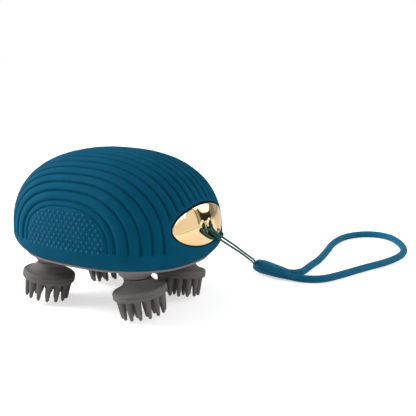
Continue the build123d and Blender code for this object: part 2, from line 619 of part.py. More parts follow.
def make_tray():
    """Cradle of the battery cell, with end walls and low rails."""
    low, floor = DECK_Z + FIT, DECK_Z + FIT + TRAY_FLOOR
    outer = TRAY_HALF + TRAY_WALL
    side = CELL_RADIUS + TRAY_WALL
    tray = block(-side, side, -outer, outer, low, floor)
    for end in (-1, 1):
        y = end * (TRAY_HALF + TRAY_WALL / 2)
        tray += block(-side, side, y - TRAY_WALL / 2, y + TRAY_WALL / 2, floor, floor + TRAY_END_HEIGHT)
        x = end * (side - TRAY_WALL / 2)
        tray += block(x - TRAY_WALL / 2, x + TRAY_WALL / 2, -outer, outer, floor, floor + TRAY_RAIL_HEIGHT)
    cell = Pos(0, 0, CELL_Z) * Rot(90, 0, 0) * Cylinder(CELL_RADIUS + FIT, 2 * TRAY_HALF)
    tray -= cell
    return tray - upright(AXLE_RADIUS * 2, 0, 0, low, floor)


def make_button():
    """Power button: a cap that follows the dome, a retaining lip and a stem to the switch."""
    shape = SlotOverall(BUTTON_LENGTH, BUTTON_HEIGHT)
    lip = SlotOverall(BUTTON_LENGTH + 2 * BUTTON_LIP, BUTTON_HEIGHT + 2 * BUTTON_LIP)
    lip_inset = CAVITY_INSET + BUTTON_SEAT_GAP
    cap = end_prism(shape, 0, BUTTON_Z, -FAR_X, 0) & case_form(-BUTTON_PROUD)
    cap += end_prism(lip, 0, BUTTON_Z, -FAR_X, 0) & case_form(lip_inset)
    cap -= case_form(lip_inset + BUTTON_LIP_THICK)
    root = -skin_x(0, BUTTON_Z, lip_inset + BUTTON_LIP_THICK / 2)
    tip = BOARD_X - SWITCH_HEIGHT - SWITCH_TIP - BUTTON_TRAVEL - FIT
    return cap + end_prism(Circle(BUTTON_STEM_RADIUS), 0, BUTTON_Z, root, tip)


def make_plug():
    """Soft plug of the charging port: a cap flush with the sleeve and a tongue in the socket."""
    cap = end_prism(SlotOverall(PLUG_LENGTH, PLUG_HEIGHT), 0, PORT_Z, -FAR_X, -HALF_LENGTH / 2)
    cap = cap & (case_form(0) - case_form(SLEEVE_WALL))
    inner_width = SOCKET_WIDTH - 2 * SOCKET_SHEET - 2 * PLUG_GAP
    inner_height = SOCKET_HEIGHT - 2 * SOCKET_SHEET - 2 * PLUG_GAP
    root = -skin_x(SOCKET_WIDTH / 2, PORT_Z, SLEEVE_WALL / 2)
    tongue = end_prism(SlotOverall(inner_width, inner_height), 0, PORT_Z, root, SOCKET_X + PLUG_TONGUE_LENGTH)
    return cap + tongue


def make_socket():
    """Metal shell of the charging socket, open to the rear."""
    shell = end_prism(SlotOverall(SOCKET_WIDTH, SOCKET_HEIGHT), 0, PORT_Z, SOCKET_X, SOCKET_X + SOCKET_DEPTH)
    hole = SlotOverall(SOCKET_WIDTH - 2 * SOCKET_SHEET, SOCKET_HEIGHT - 2 * SOCKET_SHEET)
    return shell - end_prism(hole, 0, PORT_Z, SOCKET_X, SOCKET_X + SOCKET_DEPTH - SOCKET_SHEET * 3)


FERRULE_FRAME = Pos(*FERRULE_MOUTH, 0) * Rot(0, 0, FERRULE_TURN)


def cord_seats():
    """Frames of the two seats in the ferrule: origin where a cord starts, +X along the cord."""
    start, z = FERRULE_LENGTH - CORD_SEAT, FERRULE_END_HEIGHT / 2
    near = Pos(start, -CORD_SPREAD / 2, z)
    far = Pos(start, CORD_SPREAD / 2, z) * Rot(0, 0, FAR_CORD_FAN)
    return [FERRULE_FRAME * near, FERRULE_FRAME * far]


def make_ferrule():
    """Moulded oval ferrule lying on the floor: a wide mouth for the string, a low end for the cord."""
    wires = []
    for share, fullness in ((0.0, 0.72), (0.05, 0.87), (0.25, 1.0), (0.75, 1.0), (0.94, 0.94), (1.0, 0.84)):
        height = FERRULE_MOUTH_HEIGHT + (FERRULE_END_HEIGHT - FERRULE_MOUTH_HEIGHT) * share
        plane = Plane(origin=(share * FERRULE_LENGTH, 0, height / 2), x_dir=(0, 1, 0), z_dir=(1, 0, 0))
        section = Ellipse(fullness * FERRULE_WIDTH / 2, fullness * height / 2)
        wires.append((plane * section).wire())
    body = FERRULE_FRAME * (Part() + Solid.make_loft(wires))
    bore = Ellipse(FERRULE_BORE_WIDTH / 2, FERRULE_BORE_HEIGHT / 2)
    body -= FERRULE_FRAME * end_prism(bore, 0, FERRULE_MOUTH_HEIGHT / 2, 0, FERRULE_BORE_DEPTH)
    for seat in cord_seats():
        body -= seat * end_prism(Circle(CORD_DIAMETER / 2 + FIT), 0, 0, 0, 2 * CORD_SEAT)
    return body


def string_route():
    """Route of the string: one length, doubled through both eyes in a cow hitch."""
    bore = [[(FERRULE_FRAME * Pos(depth, side * STRING_SPREAD / 2, FERRULE_MOUTH_HEIGHT / 2)).position
             for depth in (FERRULE_BORE_DEPTH, FERRULE_BORE_DEPTH / 2)] for side in (1, -1)]
    deep = POCKET_X + EYE_POCKET_DEPTH / 2
    eye, high, low = EYE_SPACING / 2, EYE_Z + EYE_HEIGHT / 5, EYE_Z - EYE_HEIGHT / 5
    outward = [(38.7, 77.6, 5.8), (41.3, 68.3, 9.9), (45.8, 52.7, 17.6), (51.0, 32.0, 27.9),
               (54.6, 17.7, 34.9), (56.5, 9.9, 38.1), (57.7, 5.6, 39.7), (56.8, eye, high)]
    through = [(deep, eye, high), (deep, -eye, high), (56.8, -eye, high)]
    bight = [(58.6, 1.8, 41.2), (59.1, 4.9, 38.9), (58.6, 7.2, 40.8), (55.6, 7.2, 40.8), (55.1, 4.9, 38.9),
             (55.3, 1.6, 39.4)]
    back = [(55.4, -eye, low), (deep, -eye, low), (deep, eye, low), (55.5, eye, low)]
    homeward = [(56.5, 5.3, 39.2), (55.4, 9.5, 37.0), (53.5, 17.2, 32.6), (50.1, 31.2, 25.9), (45.2, 51.6, 16.5),
                (40.8, 67.0, 9.4), (38.3, 76.2, 5.0)]
    return [*bore[0], *outward, *through, *bight, *back, *homeward, *reversed(bore[1])]


def cord_route():
    """Route of the wrist cord: one loop laid on the floor, both ends in the ferrule."""
    near, far = cord_seats()
    floor = CORD_DIAMETER / 2
    leaving = [(65.2, 80.9, far.position.Z), (66.4, 85.2, 2.3), (65.8, 91.6, floor)]
    loop = [(64.8, 100.5), (64.6, 112.0), (60.7, 133.5), (55.4, 156.4), (55.8, 178.6), (67.3, 193.4), (82.1, 191.7),
            (94.1, 177.6), (101.5, 163.1), (103.9, 148.8), (101.1, 131.0), (93.4, 111.4), (87.7, 92.8), (82.1, 78.4),
            (73.5, 73.4)]
    far_lead = (far * Pos(CORD_SEAT + CORD_LEAD_FAR, 0, 0)).position
    near_lead = (near * Pos(CORD_SEAT + CORD_LEAD_NEAR, 0, 0)).position
    return [far.position, far_lead, *leaving, *[(x, y, floor) for x, y in loop], near_lead, near.position]


def tube(points, diameter, name):
    """A cord as straight runs joined by tangent arcs, each as large as its two runs allow."""
    points = [Vector(p) for p in points]
    radii = []
    for before, here, after in zip(points, points[1:], points[2:]):
        turn = radians((here - before).get_angle(after - here))
        radii.append(ARC_SHARE * min((here - before).length, (after - here).length) / tan(turn / 2))
    path = FilletPolyline(*points, radius=radii)
    solid = sweep(Plane(origin=path @ 0, z_dir=path % 0) * Circle(diameter / 2), path=path)
    expected = pi * diameter**2 / 4 * path.length
    print(f"{name}: length {path.length:.1f} mm, volume {solid.volume:.2f} of {expected:.2f} mm3")
    print("  radii, in diameters:", " ".join(f"{r / diameter:.1f}" for r in radii))
    return solid


def make_motor():
    """Can of the DC motor on top of its gearhead, with the rear bearing cap."""
    z = DECK_Z + FIT + GEARHEAD_HEIGHT
    can = upright(MOTOR_RADIUS, PINION_DISTANCE, 0, z, z + MOTOR_HEIGHT)
    return can + upright(MOTOR_BOSS_RADIUS, PINION_DISTANCE, 0, z + MOTOR_HEIGHT, z + MOTOR_HEIGHT + MOTOR_CAP)


def make_motor_shaft():
    """Output shaft of the gearhead, pressed into the drive pinion."""
    top = DECK_Z + FIT + GEARHEAD_HEIGHT / 2
    return upright(MOTOR_SHAFT_RADIUS, PINION_DISTANCE, 0, GEAR_Z, top)


def make_board():
    """Upright circuit board in its slotted posts."""
    low = DECK_Z + FIT
    return block(BOARD_X, BOARD_X + BOARD_THICK, -BOARD_HALF_WIDTH, BOARD_HALF_WIDTH, low, low + BOARD_HEIGHT)


def make_switch():
    """Tactile switch on the board, behind the button's stem."""
    half = SWITCH_SIDE / 2
    body = block(BOARD_X - SWITCH_HEIGHT, BOARD_X, -half, half, BUTTON_Z - half, BUTTON_Z + half)
    tip_x = BOARD_X - SWITCH_HEIGHT - SWITCH_TIP
    return body + end_prism(Circle(SWITCH_TIP_RADIUS), 0, BUTTON_Z, tip_x, BOARD_X - SWITCH_HEIGHT)


def make_charge_board():
    """Small level board that carries the charging socket."""
    top = PORT_Z - SOCKET_HEIGHT / 2
    return block(SOCKET_X + CHARGE_BOARD_SET_IN, SOCKET_X + CHARGE_BOARD_SET_IN + CHARGE_BOARD_LENGTH,
                 -CHARGE_BOARD_WIDTH / 2, CHARGE_BOARD_WIDTH / 2, top - CHARGE_BOARD_THICK, top)


def make_axle():
    """Fixed pin that the centre gear turns on."""
    return upright(AXLE_RADIUS, 0, 0, BUSH_TOP_Z - AXLE_SEAT, DECK_Z)


def make_centre_gear():
    """Central spur gear that drives all four heads."""
    return gear(CENTRE_TEETH, 0.0, AXLE_RADIUS + RUNNING_FIT, 0, 0, GEAR_Z)


def make_output_gear(x, y):
    """Spur gear on a head's output shaft."""
    return gear(OUTPUT_TEETH, mesh_turn(OUTPUT_TEETH, atan2(y, x)), SHAFT_RADIUS + SHAFT_FIT, x, y, GEAR_Z)


def make_pinion():
    """Drive pinion on the motor's shaft."""
    bore = MOTOR_SHAFT_RADIUS + SHAFT_FIT
    return gear(PINION_TEETH, mesh_turn(PINION_TEETH, 0.0), bore, PINION_DISTANCE, 0, GEAR_Z)


def build():
    """Make every piece and write it out."""
    pieces = {
        "silicone_sleeve": make_sleeve(),
        "upper_housing": make_housing(),
        "lanyard_plate": make_front_plate(),
        "status_lamp": make_lamp(),
        "base_plate": make_base(),
        "base_gasket": make_gasket(),
        "case_screws": [screw(x, y, BASE_Z + SCREW_HEAD, 1) for x, y in screw_places()],
        "gear_plate": make_gear_plate(),
        "gear_plate_screws": [screw(x, y, DECK_Z, -1) for x, y in pillar_places()],
        "motor_screws": [screw(x, y, PLATE_BOTTOM_Z, 1) for x, y in motor_screw_places()],
        "centre_axle": make_axle(),
        "centre_gear": make_centre_gear(),
        "drive_pinion": make_pinion(),
        "motor_shaft": make_motor_shaft(),
        "motor_gearhead": make_gearhead(),
        "motor": make_motor(),
        "battery_tray": make_tray(),
        "battery_cell": Pos(0, 0, CELL_Z) * Rot(90, 0, 0) * Cylinder(CELL_RADIUS, CELL_LENGTH),
        "circuit_board": make_board(),
        "button_switch": make_switch(),
        "charging_board": make_charge_board(),
        "charging_socket": make_socket(),
        "power_button": make_button(),
        "socket_plug": make_plug(),
        "lanyard_ferrule": make_ferrule(),
        "lanyard_string": tube(string_route(), STRING_DIAMETER, "string"),
        "wrist_cord": tube(cord_route(), CORD_DIAMETER, "wrist cord"),
    }
    for number, (sx, sy, lean) in enumerate(HEADS, 1):
        x, y = sx * HEAD_X, sy * HEAD_Y
        pieces[f"output_gear_{number}"] = make_output_gear(x, y)
        pieces[f"output_shaft_{number}"] = make_shaft(sx, sy, lean)
        pieces[f"shaft_bush_{number}"] = make_bush(x, y)
        pieces[f"shaft_seal_{number}"] = make_seal(x, y)
        pieces[f"head_hub_{number}"] = make_hub(sx, sy, lean)
        pieces[f"head_claw_{number}"] = make_claw(sx, sy, lean)
    for name, piece in pieces.items():
        save(Compound(children=piece) if isinstance(piece, list) else piece, name)


build()
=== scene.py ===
"""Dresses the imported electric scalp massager: sleeve, plate, controls, massage heads, lanyard and studio.

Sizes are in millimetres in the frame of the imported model, and become metres where a mesh is made.
"""
import logging
import math
from dataclasses import dataclass, field, replace
from enum import Enum
from typing import Callable, Mapping, Sequence

import bmesh
import bpy
import numpy as np
from mathutils import Matrix, Vector


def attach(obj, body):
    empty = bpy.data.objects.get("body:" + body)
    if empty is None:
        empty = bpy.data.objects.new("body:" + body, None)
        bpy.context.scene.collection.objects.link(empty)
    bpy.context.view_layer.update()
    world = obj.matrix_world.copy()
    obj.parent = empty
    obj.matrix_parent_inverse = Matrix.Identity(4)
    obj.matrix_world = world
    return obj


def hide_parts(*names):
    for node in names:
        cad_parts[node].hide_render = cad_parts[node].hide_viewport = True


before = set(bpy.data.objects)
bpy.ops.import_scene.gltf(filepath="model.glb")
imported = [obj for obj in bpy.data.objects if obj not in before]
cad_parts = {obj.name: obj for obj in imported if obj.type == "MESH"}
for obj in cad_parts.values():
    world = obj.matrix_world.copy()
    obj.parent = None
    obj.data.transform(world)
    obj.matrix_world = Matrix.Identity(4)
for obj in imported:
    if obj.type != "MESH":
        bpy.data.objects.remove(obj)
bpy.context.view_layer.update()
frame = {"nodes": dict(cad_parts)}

log = logging.getLogger("massager")
MM = 0.001
Node, Socket, Tree, Obj = bpy.types.Node, bpy.types.NodeSocket, bpy.types.NodeTree, bpy.types.Object
Mesh, Edge, Vert = bmesh.types.BMesh, bmesh.types.BMEdge, bmesh.types.BMVert
Pair, Point = tuple[float, float], tuple[float, float, float]
Colour = tuple[float, float, float, float]


# ---- finishes ----
def linear(colour: str) -> Colour:
    """Turns an sRGB colour to linear light.

    Args:
        colour: six hex digits after a hash sign.

    Returns:
        Red, green, blue and an alpha of one.
    """
    parts = [int(colour[i:i + 2], 16) / 255 for i in (1, 3, 5)]
    red, green, blue = [c / 12.92 if c <= 0.04045 else ((c + 0.055) / 1.055) ** 2.4 for c in parts]
    return red, green, blue, 1.0


def grey(level: float) -> Colour:
    """Gives a grey of this brightness in linear light."""
    return level, level, level, 1.0


def per_metre(size_mm: float) -> float:
    """Gives the texture scale at which one feature measures size_mm."""
    return 1.0 / (size_mm * MM)


def add_node(tree: Tree, kind: str, settings: Mapping | None = None, links: Mapping | None = None) -> Node:
    """Adds one node with its settings and links.

    Args:
        tree: the node tree that takes the node.
        kind: the node's type name.
        settings: property names, or input sockets by name or number, and their values.
        links: input sockets by name or number, and the outputs that feed them.

    Returns:
        The new node.
    """
    node = tree.nodes.new(kind)
    for key, value in (settings or {}).items():
        if isinstance(key, str) and hasattr(node, key):
            setattr(node, key, value)
        else:
            node.inputs[key].default_value = value
    for key, source in (links or {}).items():
        tree.links.new(source, node.inputs[key])
    return node


@dataclass(frozen=True)
class Look:
    """What a finish's nodes give its shader: colour, patterns from 0 to 1 and how strong they are."""

    colour: Socket
    height: Socket | None = None
    depth_mm: float = 0.0
    wear: Socket | None = None
    wear_spread: float = 0.0
    settings: Mapping = field(default_factory=dict)


@dataclass(frozen=True)
class Finish:
    """One finish: its two colours, the size of the patches in which they mix, and its gloss."""

    name: str
    colour: str
    shade: str
    roughness: float
    ior: float = 1.5
    metallic: float = 0.0
    cloud_mm: float = 6.0

    def material(self) -> bpy.types.Material:
        """Makes the material, or gives it back if it is there already.

        Returns:
            The node-based material.
        """
        made = bpy.data.materials.get(self.name)
        if made is None:
            made = bpy.data.materials.new(self.name)
            made.use_nodes = True
            made.node_tree.nodes.clear()
            self.shade_with(made.node_tree)
        return made

    def shade_with(self, tree: Tree) -> None:
        """Adds the shader, raised by the look's height and with roughness that follows its wear.

        Args:
            tree: the material's node tree.
        """
        look = self.look(tree, add_node(tree, "ShaderNodeTexCoord"))
        links = {"Base Color": look.colour}
        if look.height is not None:
            links["Normal"] = add_node(tree, "ShaderNodeBump", {
                "Strength": 1.0, "Distance": look.depth_mm * MM}, {"Height": look.height}).outputs[0]
        if look.wear is not None:
            low, high = self.roughness - look.wear_spread, self.roughness + look.wear_spread
            links["Roughness"] = add_node(tree, "ShaderNodeMapRange", {
                "From Min": 0.3, "From Max": 0.7, "To Min": low, "To Max": high},
                {"Value": look.wear}).outputs[0]
        shader = add_node(tree, "ShaderNodeBsdfPrincipled", {
            "Base Color": linear(self.colour), "Roughness": self.roughness, "IOR": self.ior,
            "Metallic": self.metallic, **look.settings}, links)
        add_node(tree, "ShaderNodeOutputMaterial", links={"Surface": shader.outputs[0]})

    def look(self, tree: Tree, place: Node) -> Look:
        """Lets the colour wander between its two values.

        Args:
            tree: the material's node tree.
            place: its coordinates.

        Returns:
            The look.
        """
        cloud = add_node(tree, "ShaderNodeTexNoise", {"Scale": per_metre(self.cloud_mm), "Detail": 3.0},
                         {"Vector": place.outputs["Object"]})
        spread = add_node(tree, "ShaderNodeMapRange", {"From Min": 0.35, "From Max": 0.65},
                          {"Value": cloud.outputs[0]})
        body = add_node(tree, "ShaderNodeMix", {
            "data_type": "RGBA", 6: linear(self.colour), 7: linear(self.shade)}, {0: spread.outputs[0]})
        return Look(body.outputs[2])


class Mould(Enum):
    """Surface that a mould leaves: grain size and depth in millimetres."""

    # real grain is finer than shows, so it is drawn as coarse as it needs to be
    POLISHED = (0.60, 0.001)
    SATIN = (0.45, 0.006)
    ERODED = (0.35, 0.014)


@dataclass(frozen=True)
class MouldedPolymer(Finish):
    """Rubber or plastic from a mould: the mould's grain, cloudy colour and a little light under the skin."""

    cloud_mm: float = 9.0
    mould: Mould = Mould.SATIN
    worn_mm: float = 14.0
    wear_spread: float = 0.05
    under_skin: float = 0.0
    under_skin_mm: float = 1.2
    gloss: float = 0.5

    def look(self, tree: Tree, place: Node) -> Look:
        """Adds the mould's grain and the uneven gloss of handling.

        Args:
            tree: the material's node tree.
            place: its coordinates.

        Returns:
            The look.
        """
        grain_mm, depth_mm = self.mould.value
        spot = {"Vector": place.outputs["Object"]}
        grain = add_node(tree, "ShaderNodeTexNoise", {"Scale": per_metre(grain_mm), "Detail": 2.0}, spot)
        worn = add_node(tree, "ShaderNodeTexNoise", {"Scale": per_metre(self.worn_mm), "Detail": 4.0}, spot)
        # fine bloom on matt rubber takes away part of its mirror light
        settings = {"Specular IOR Level": self.gloss}
        if self.under_skin:
            settings.update({"Subsurface Weight": self.under_skin, "Subsurface Radius": (1.0, 0.9, 0.85),
                             "Subsurface Scale": self.under_skin_mm * MM})
        return replace(super().look(tree, place), height=grain.outputs[0], depth_mm=depth_mm,
                       wear=worn.outputs[0], wear_spread=self.wear_spread, settings=settings)


@dataclass(frozen=True)
class TaperedRubber(MouldedPolymer):
    """Moulded rubber whose thin lower ends are painted paler, a painted glow of the light that comes through
    them.
    """

    # painted glow: the colour that the ends near the floor are lightened towards
    painted_glow_colour: str = "#857F7C"
    thick_above_mm: float = 7.0

    def look(self, tree: Tree, place: Node) -> Look:
        """Adds the painted glow of the thin ends to the mould's own look.

        Args:
            tree: the material's node tree.
            place: its coordinates.

        Returns:
            The look.
        """
        look = super().look(tree, place)
        # painted glow: the colour is lightened towards the floor, below thick_above_mm
        height = add_node(tree, "ShaderNodeSeparateXYZ", links={0: place.outputs["Object"]})
        thin = add_node(tree, "ShaderNodeMapRange", {
            "interpolation_type": "SMOOTHSTEP", "From Min": self.thick_above_mm * MM, "From Max": 0.0},
            {"Value": height.outputs[2]})
        paler = add_node(tree, "ShaderNodeMix", {"data_type": "RGBA", 7: linear(self.painted_glow_colour)},
                         {0: thin.outputs[0], 6: look.colour})
        return replace(look, colour=paler.outputs[2])


@dataclass(frozen=True)
class PlatedPolymer(Finish):
    """Bright metal plated on polished plastic: a mirror with faint waves of the moulding under it."""

    cloud_mm: float = 11.0
    wave_mm: float = 7.0
    wave_depth_mm: float = 0.012
    haze_mm: float = 1.5
    haze_spread: float = 0.015

    def look(self, tree: Tree, place: Node) -> Look:
        """Adds the faint waves, and a haze as thin as breath.

        Args:
            tree: the material's node tree.
            place: its coordinates.

        Returns:
            The look.
        """
        spot = {"Vector": place.outputs["Object"]}
        wave = add_node(tree, "ShaderNodeTexNoise", {"Scale": per_metre(self.wave_mm), "Detail": 1.0}, spot)
        haze = add_node(tree, "ShaderNodeTexNoise", {"Scale": per_metre(self.haze_mm), "Detail": 5.0}, spot)
        return replace(super().look(tree, place), height=wave.outputs[0], depth_mm=self.wave_depth_mm,
                       wear=haze.outputs[0], wear_spread=self.haze_spread)


@dataclass(frozen=True)
class CutMetal(Finish):
    """Turned, drawn or rolled metal with fine marks of the tool, mostly round the upright axis."""

    cloud_mm: float = 5.0
    # real tool marks are finer than shows, so they are drawn as coarse as they need to be
    mark_mm: float = 0.12
    mark_depth_mm: float = 0.004
    mark_spread: float = 0.08
    # how much a mark is stretched along each axis
    drawn: Point = (0.04, 0.04, 1.0)

    def look(self, tree: Tree, place: Node) -> Look:
        """Adds level tool marks, a fraction of a millimetre apart.

        Args:
            tree: the material's node tree.
            place: its coordinates.

        Returns:
            The look.
        """
        drawn = add_node(tree, "ShaderNodeMapping", {"Scale": self.drawn}, {"Vector": place.outputs["Object"]})
        marks = add_node(tree, "ShaderNodeTexNoise", {"Scale": per_metre(self.mark_mm), "Detail": 2.0},
                         {"Vector": drawn.outputs[0]}).outputs[0]
        return replace(super().look(tree, place), height=marks, depth_mm=self.mark_depth_mm, wear=marks,
                       wear_spread=self.mark_spread)


@dataclass(frozen=True)
class BraidedYarn(Finish):
    """Round braid of synthetic yarn: slanting stitches in both directions with a soft fibre sheen."""

    cloud_mm: float = 3.0
    stitch_mm: float = 1.3
    carriers: int = 12
    stitch_depth_mm: float = 0.09

    def look(self, tree: Tree, place: Node) -> Look:
        """Adds the braid from the tube's own coordinates: millimetres along it, and turns round it.

        Args:
            tree: the material's node tree.
            place: its coordinates.

        Returns:
            The look.
        """
        parts = add_node(tree, "ShaderNodeSeparateXYZ", links={0: place.outputs["UV"]})
        along, round_it = (
            add_node(tree, "ShaderNodeMath", {"operation": "MULTIPLY", 1: scale}, {0: parts.outputs[axis]})
            for axis, scale in enumerate((2 * math.pi / self.stitch_mm, math.pi * self.carriers)))
        waves = []
        for way in ("ADD", "SUBTRACT"):
            slant = add_node(tree, "ShaderNodeMath", {"operation": way}, {
                0: along.outputs[0], 1: round_it.outputs[0]})
            waves.append(add_node(tree, "ShaderNodeMath", {"operation": "SINE"}, {0: slant.outputs[0]}))
        stitch = add_node(tree, "ShaderNodeMath", {"operation": "MULTIPLY_ADD", 2: 0.5},
                          {0: waves[0].outputs[0], 1: waves[1].outputs[0]})
        return replace(super().look(tree, place), height=stitch.outputs[0], depth_mm=self.stitch_depth_mm,
                       settings={"Specular IOR Level": 0.3, "Sheen Weight": 0.03, "Sheen Roughness": 0.5})


@dataclass(frozen=True)
class TwistedYarn(Finish):
    """Thin twisted string: the plies are in its shape, and fine fibres run along them."""

    cloud_mm: float = 2.0
    # single fibres are finer than shows, so they are drawn as coarse as they need to be
    fibre_mm: float = 0.12
    fibre_depth_mm: float = 0.02

    def look(self, tree: Tree, place: Node) -> Look:
        """Adds the fibres that run along the plies.

        Args:
            tree: the material's node tree.
            place: its coordinates.

        Returns:
            The look.
        """
        fibre = add_node(tree, "ShaderNodeTexNoise", {"Scale": per_metre(self.fibre_mm), "Detail": 1.0},
                         {"Vector": place.outputs["Object"]})
        return replace(super().look(tree, place), height=fibre.outputs[0], depth_mm=self.fibre_depth_mm,
                       settings={"Sheen Weight": 0.05})


@dataclass(frozen=True)
class LaminatedBoard(Finish):
    """Glass-epoxy circuit board: solder mask over a net of tracks."""

    track_mm: float = 1.6
    track_depth_mm: float = 0.03

    def look(self, tree: Tree, place: Node) -> Look:
        """Gives the tracks, which lift the mask a little and show lighter.

        Args:
            tree: the material's node tree.
            place: its coordinates.

        Returns:
            The look.
        """
        cells = add_node(tree, "ShaderNodeTexVoronoi", {
            "feature": "DISTANCE_TO_EDGE", "distance": "MANHATTAN", "Scale": per_metre(self.track_mm)},
            {"Vector": place.outputs["Object"]})
        edge = add_node(tree, "ShaderNodeMapRange", {"From Min": 0.05, "From Max": 0.12},
                        {"Value": cells.outputs["Distance"]})
        body = add_node(tree, "ShaderNodeMix", {
            "data_type": "RGBA", 6: linear(self.shade), 7: linear(self.colour)}, {0: edge.outputs[0]})
        return Look(body.outputs[2], edge.outputs[0], self.track_depth_mm)


# soft rubber, satin from the mould: broad weak highlights, and a deep colour under them
BLUE_SILICONE = MouldedPolymer("blue_silicone_rubber", "#005371", "#004F6A", 0.86, 1.41, under_skin=0.06,
                               gloss=0.11)
# the raised dots are polished by handling, so each catches a small light; their colour is a little paler than
# the sleeve's, painted light on the raised dots
DOT_SILICONE = MouldedPolymer("polished_blue_silicone", "#005A7E", "#005678", 0.54, 1.41, gloss=0.35)
# the ferrule comes from a polished mould: a long soft light runs down it
FERRULE_RUBBER = MouldedPolymer("glossy_blue_silicone", "#006485", "#005F7E", 0.42, 1.41, mould=Mould.POLISHED,
                                gloss=0.22)
# the same rubber in warm grey: the thin finger tips are painted paler than the disc, a painted glow of the
# light that comes through them
GREY_SILICONE = TaperedRubber("grey_silicone_rubber", "#706B6A", "#6A6564", 0.72, 1.41, cloud_mm=5.0,
                              under_skin=0.12, gloss=0.35)
# plated plastic: a mirror of pale gold
GOLD_PLATING = PlatedPolymer("gold_plated_abs", "#F3D3A2", "#EFCD9A", 0.06, metallic=1.0)
# engineering plastic from a spark-eroded mould: dry and even
TAUPE_ABS = MouldedPolymer("taupe_moulded_abs", "#817C79", "#7C7674", 0.48, 1.53, mould=Mould.ERODED)
BLACK_ABS = MouldedPolymer("black_moulded_abs", "#17181A", "#1D1E20", 0.50, 1.53, mould=Mould.ERODED)
# clear or waxy plastic from a polished mould: small sharp lights
SMOKED_ACRYLIC = MouldedPolymer("smoked_acrylic", "#1C1512", "#261C17", 0.10, 1.49, mould=Mould.POLISHED)
ACETAL = MouldedPolymer("natural_acetal", "#E4E1D6", "#DCD8CB", 0.36, 1.48, mould=Mould.POLISHED,
                        under_skin=0.2)
SHRINK_WRAP = MouldedPolymer("blue_shrink_wrap", "#2A5CA0", "#27569A", 0.22, 1.54, mould=Mould.POLISHED)
# hard black rubber: nearly no light comes back
NITRILE = MouldedPolymer("black_nitrile_rubber", "#131313", "#191919", 0.62, 1.52)
# metals: the tool's marks break up the shine
TURNED_STEEL = CutMetal("turned_steel", "#C4C4C8", "#B8B8BC", 0.28, metallic=1.0)
ZINC_CAN = CutMetal("zinc_plated_steel", "#B9BBBF", "#ADB0B5", 0.34, metallic=1.0, mark_mm=0.2)
BRONZE_BUSH = CutMetal("sintered_bronze", "#B98F55", "#A9824D", 0.46, metallic=1.0, mark_mm=0.3)
NICKEL_SHEET = CutMetal("nickel_plated_sheet", "#CFCBC2", "#C3BFB6", 0.22, metallic=1.0)
# lacquer over copper: the tracks show through as lighter, slightly raised lines
SOLDER_MASK = LaminatedBoard("green_solder_mask", "#0E5A33", "#1B7A4A", 0.35, 1.53)
# yarns: the fibres scatter light, so they look matt and a little lighter at their edges
WRIST_BRAID = BraidedYarn("blue_polyester_braid", "#006C8F", "#006486", 0.84, 1.45)
STRING_TWIST = TwistedYarn("teal_twisted_polyester", "#00534F", "#004B48", 0.85, 1.5)


# ---- meshes ----
def walked_along(points: np.ndarray) -> np.ndarray:
    """Gives the length walked at each of a row of points."""
    return np.concatenate([[0], np.cumsum(np.linalg.norm(np.diff(points, axis=0), axis=1))])


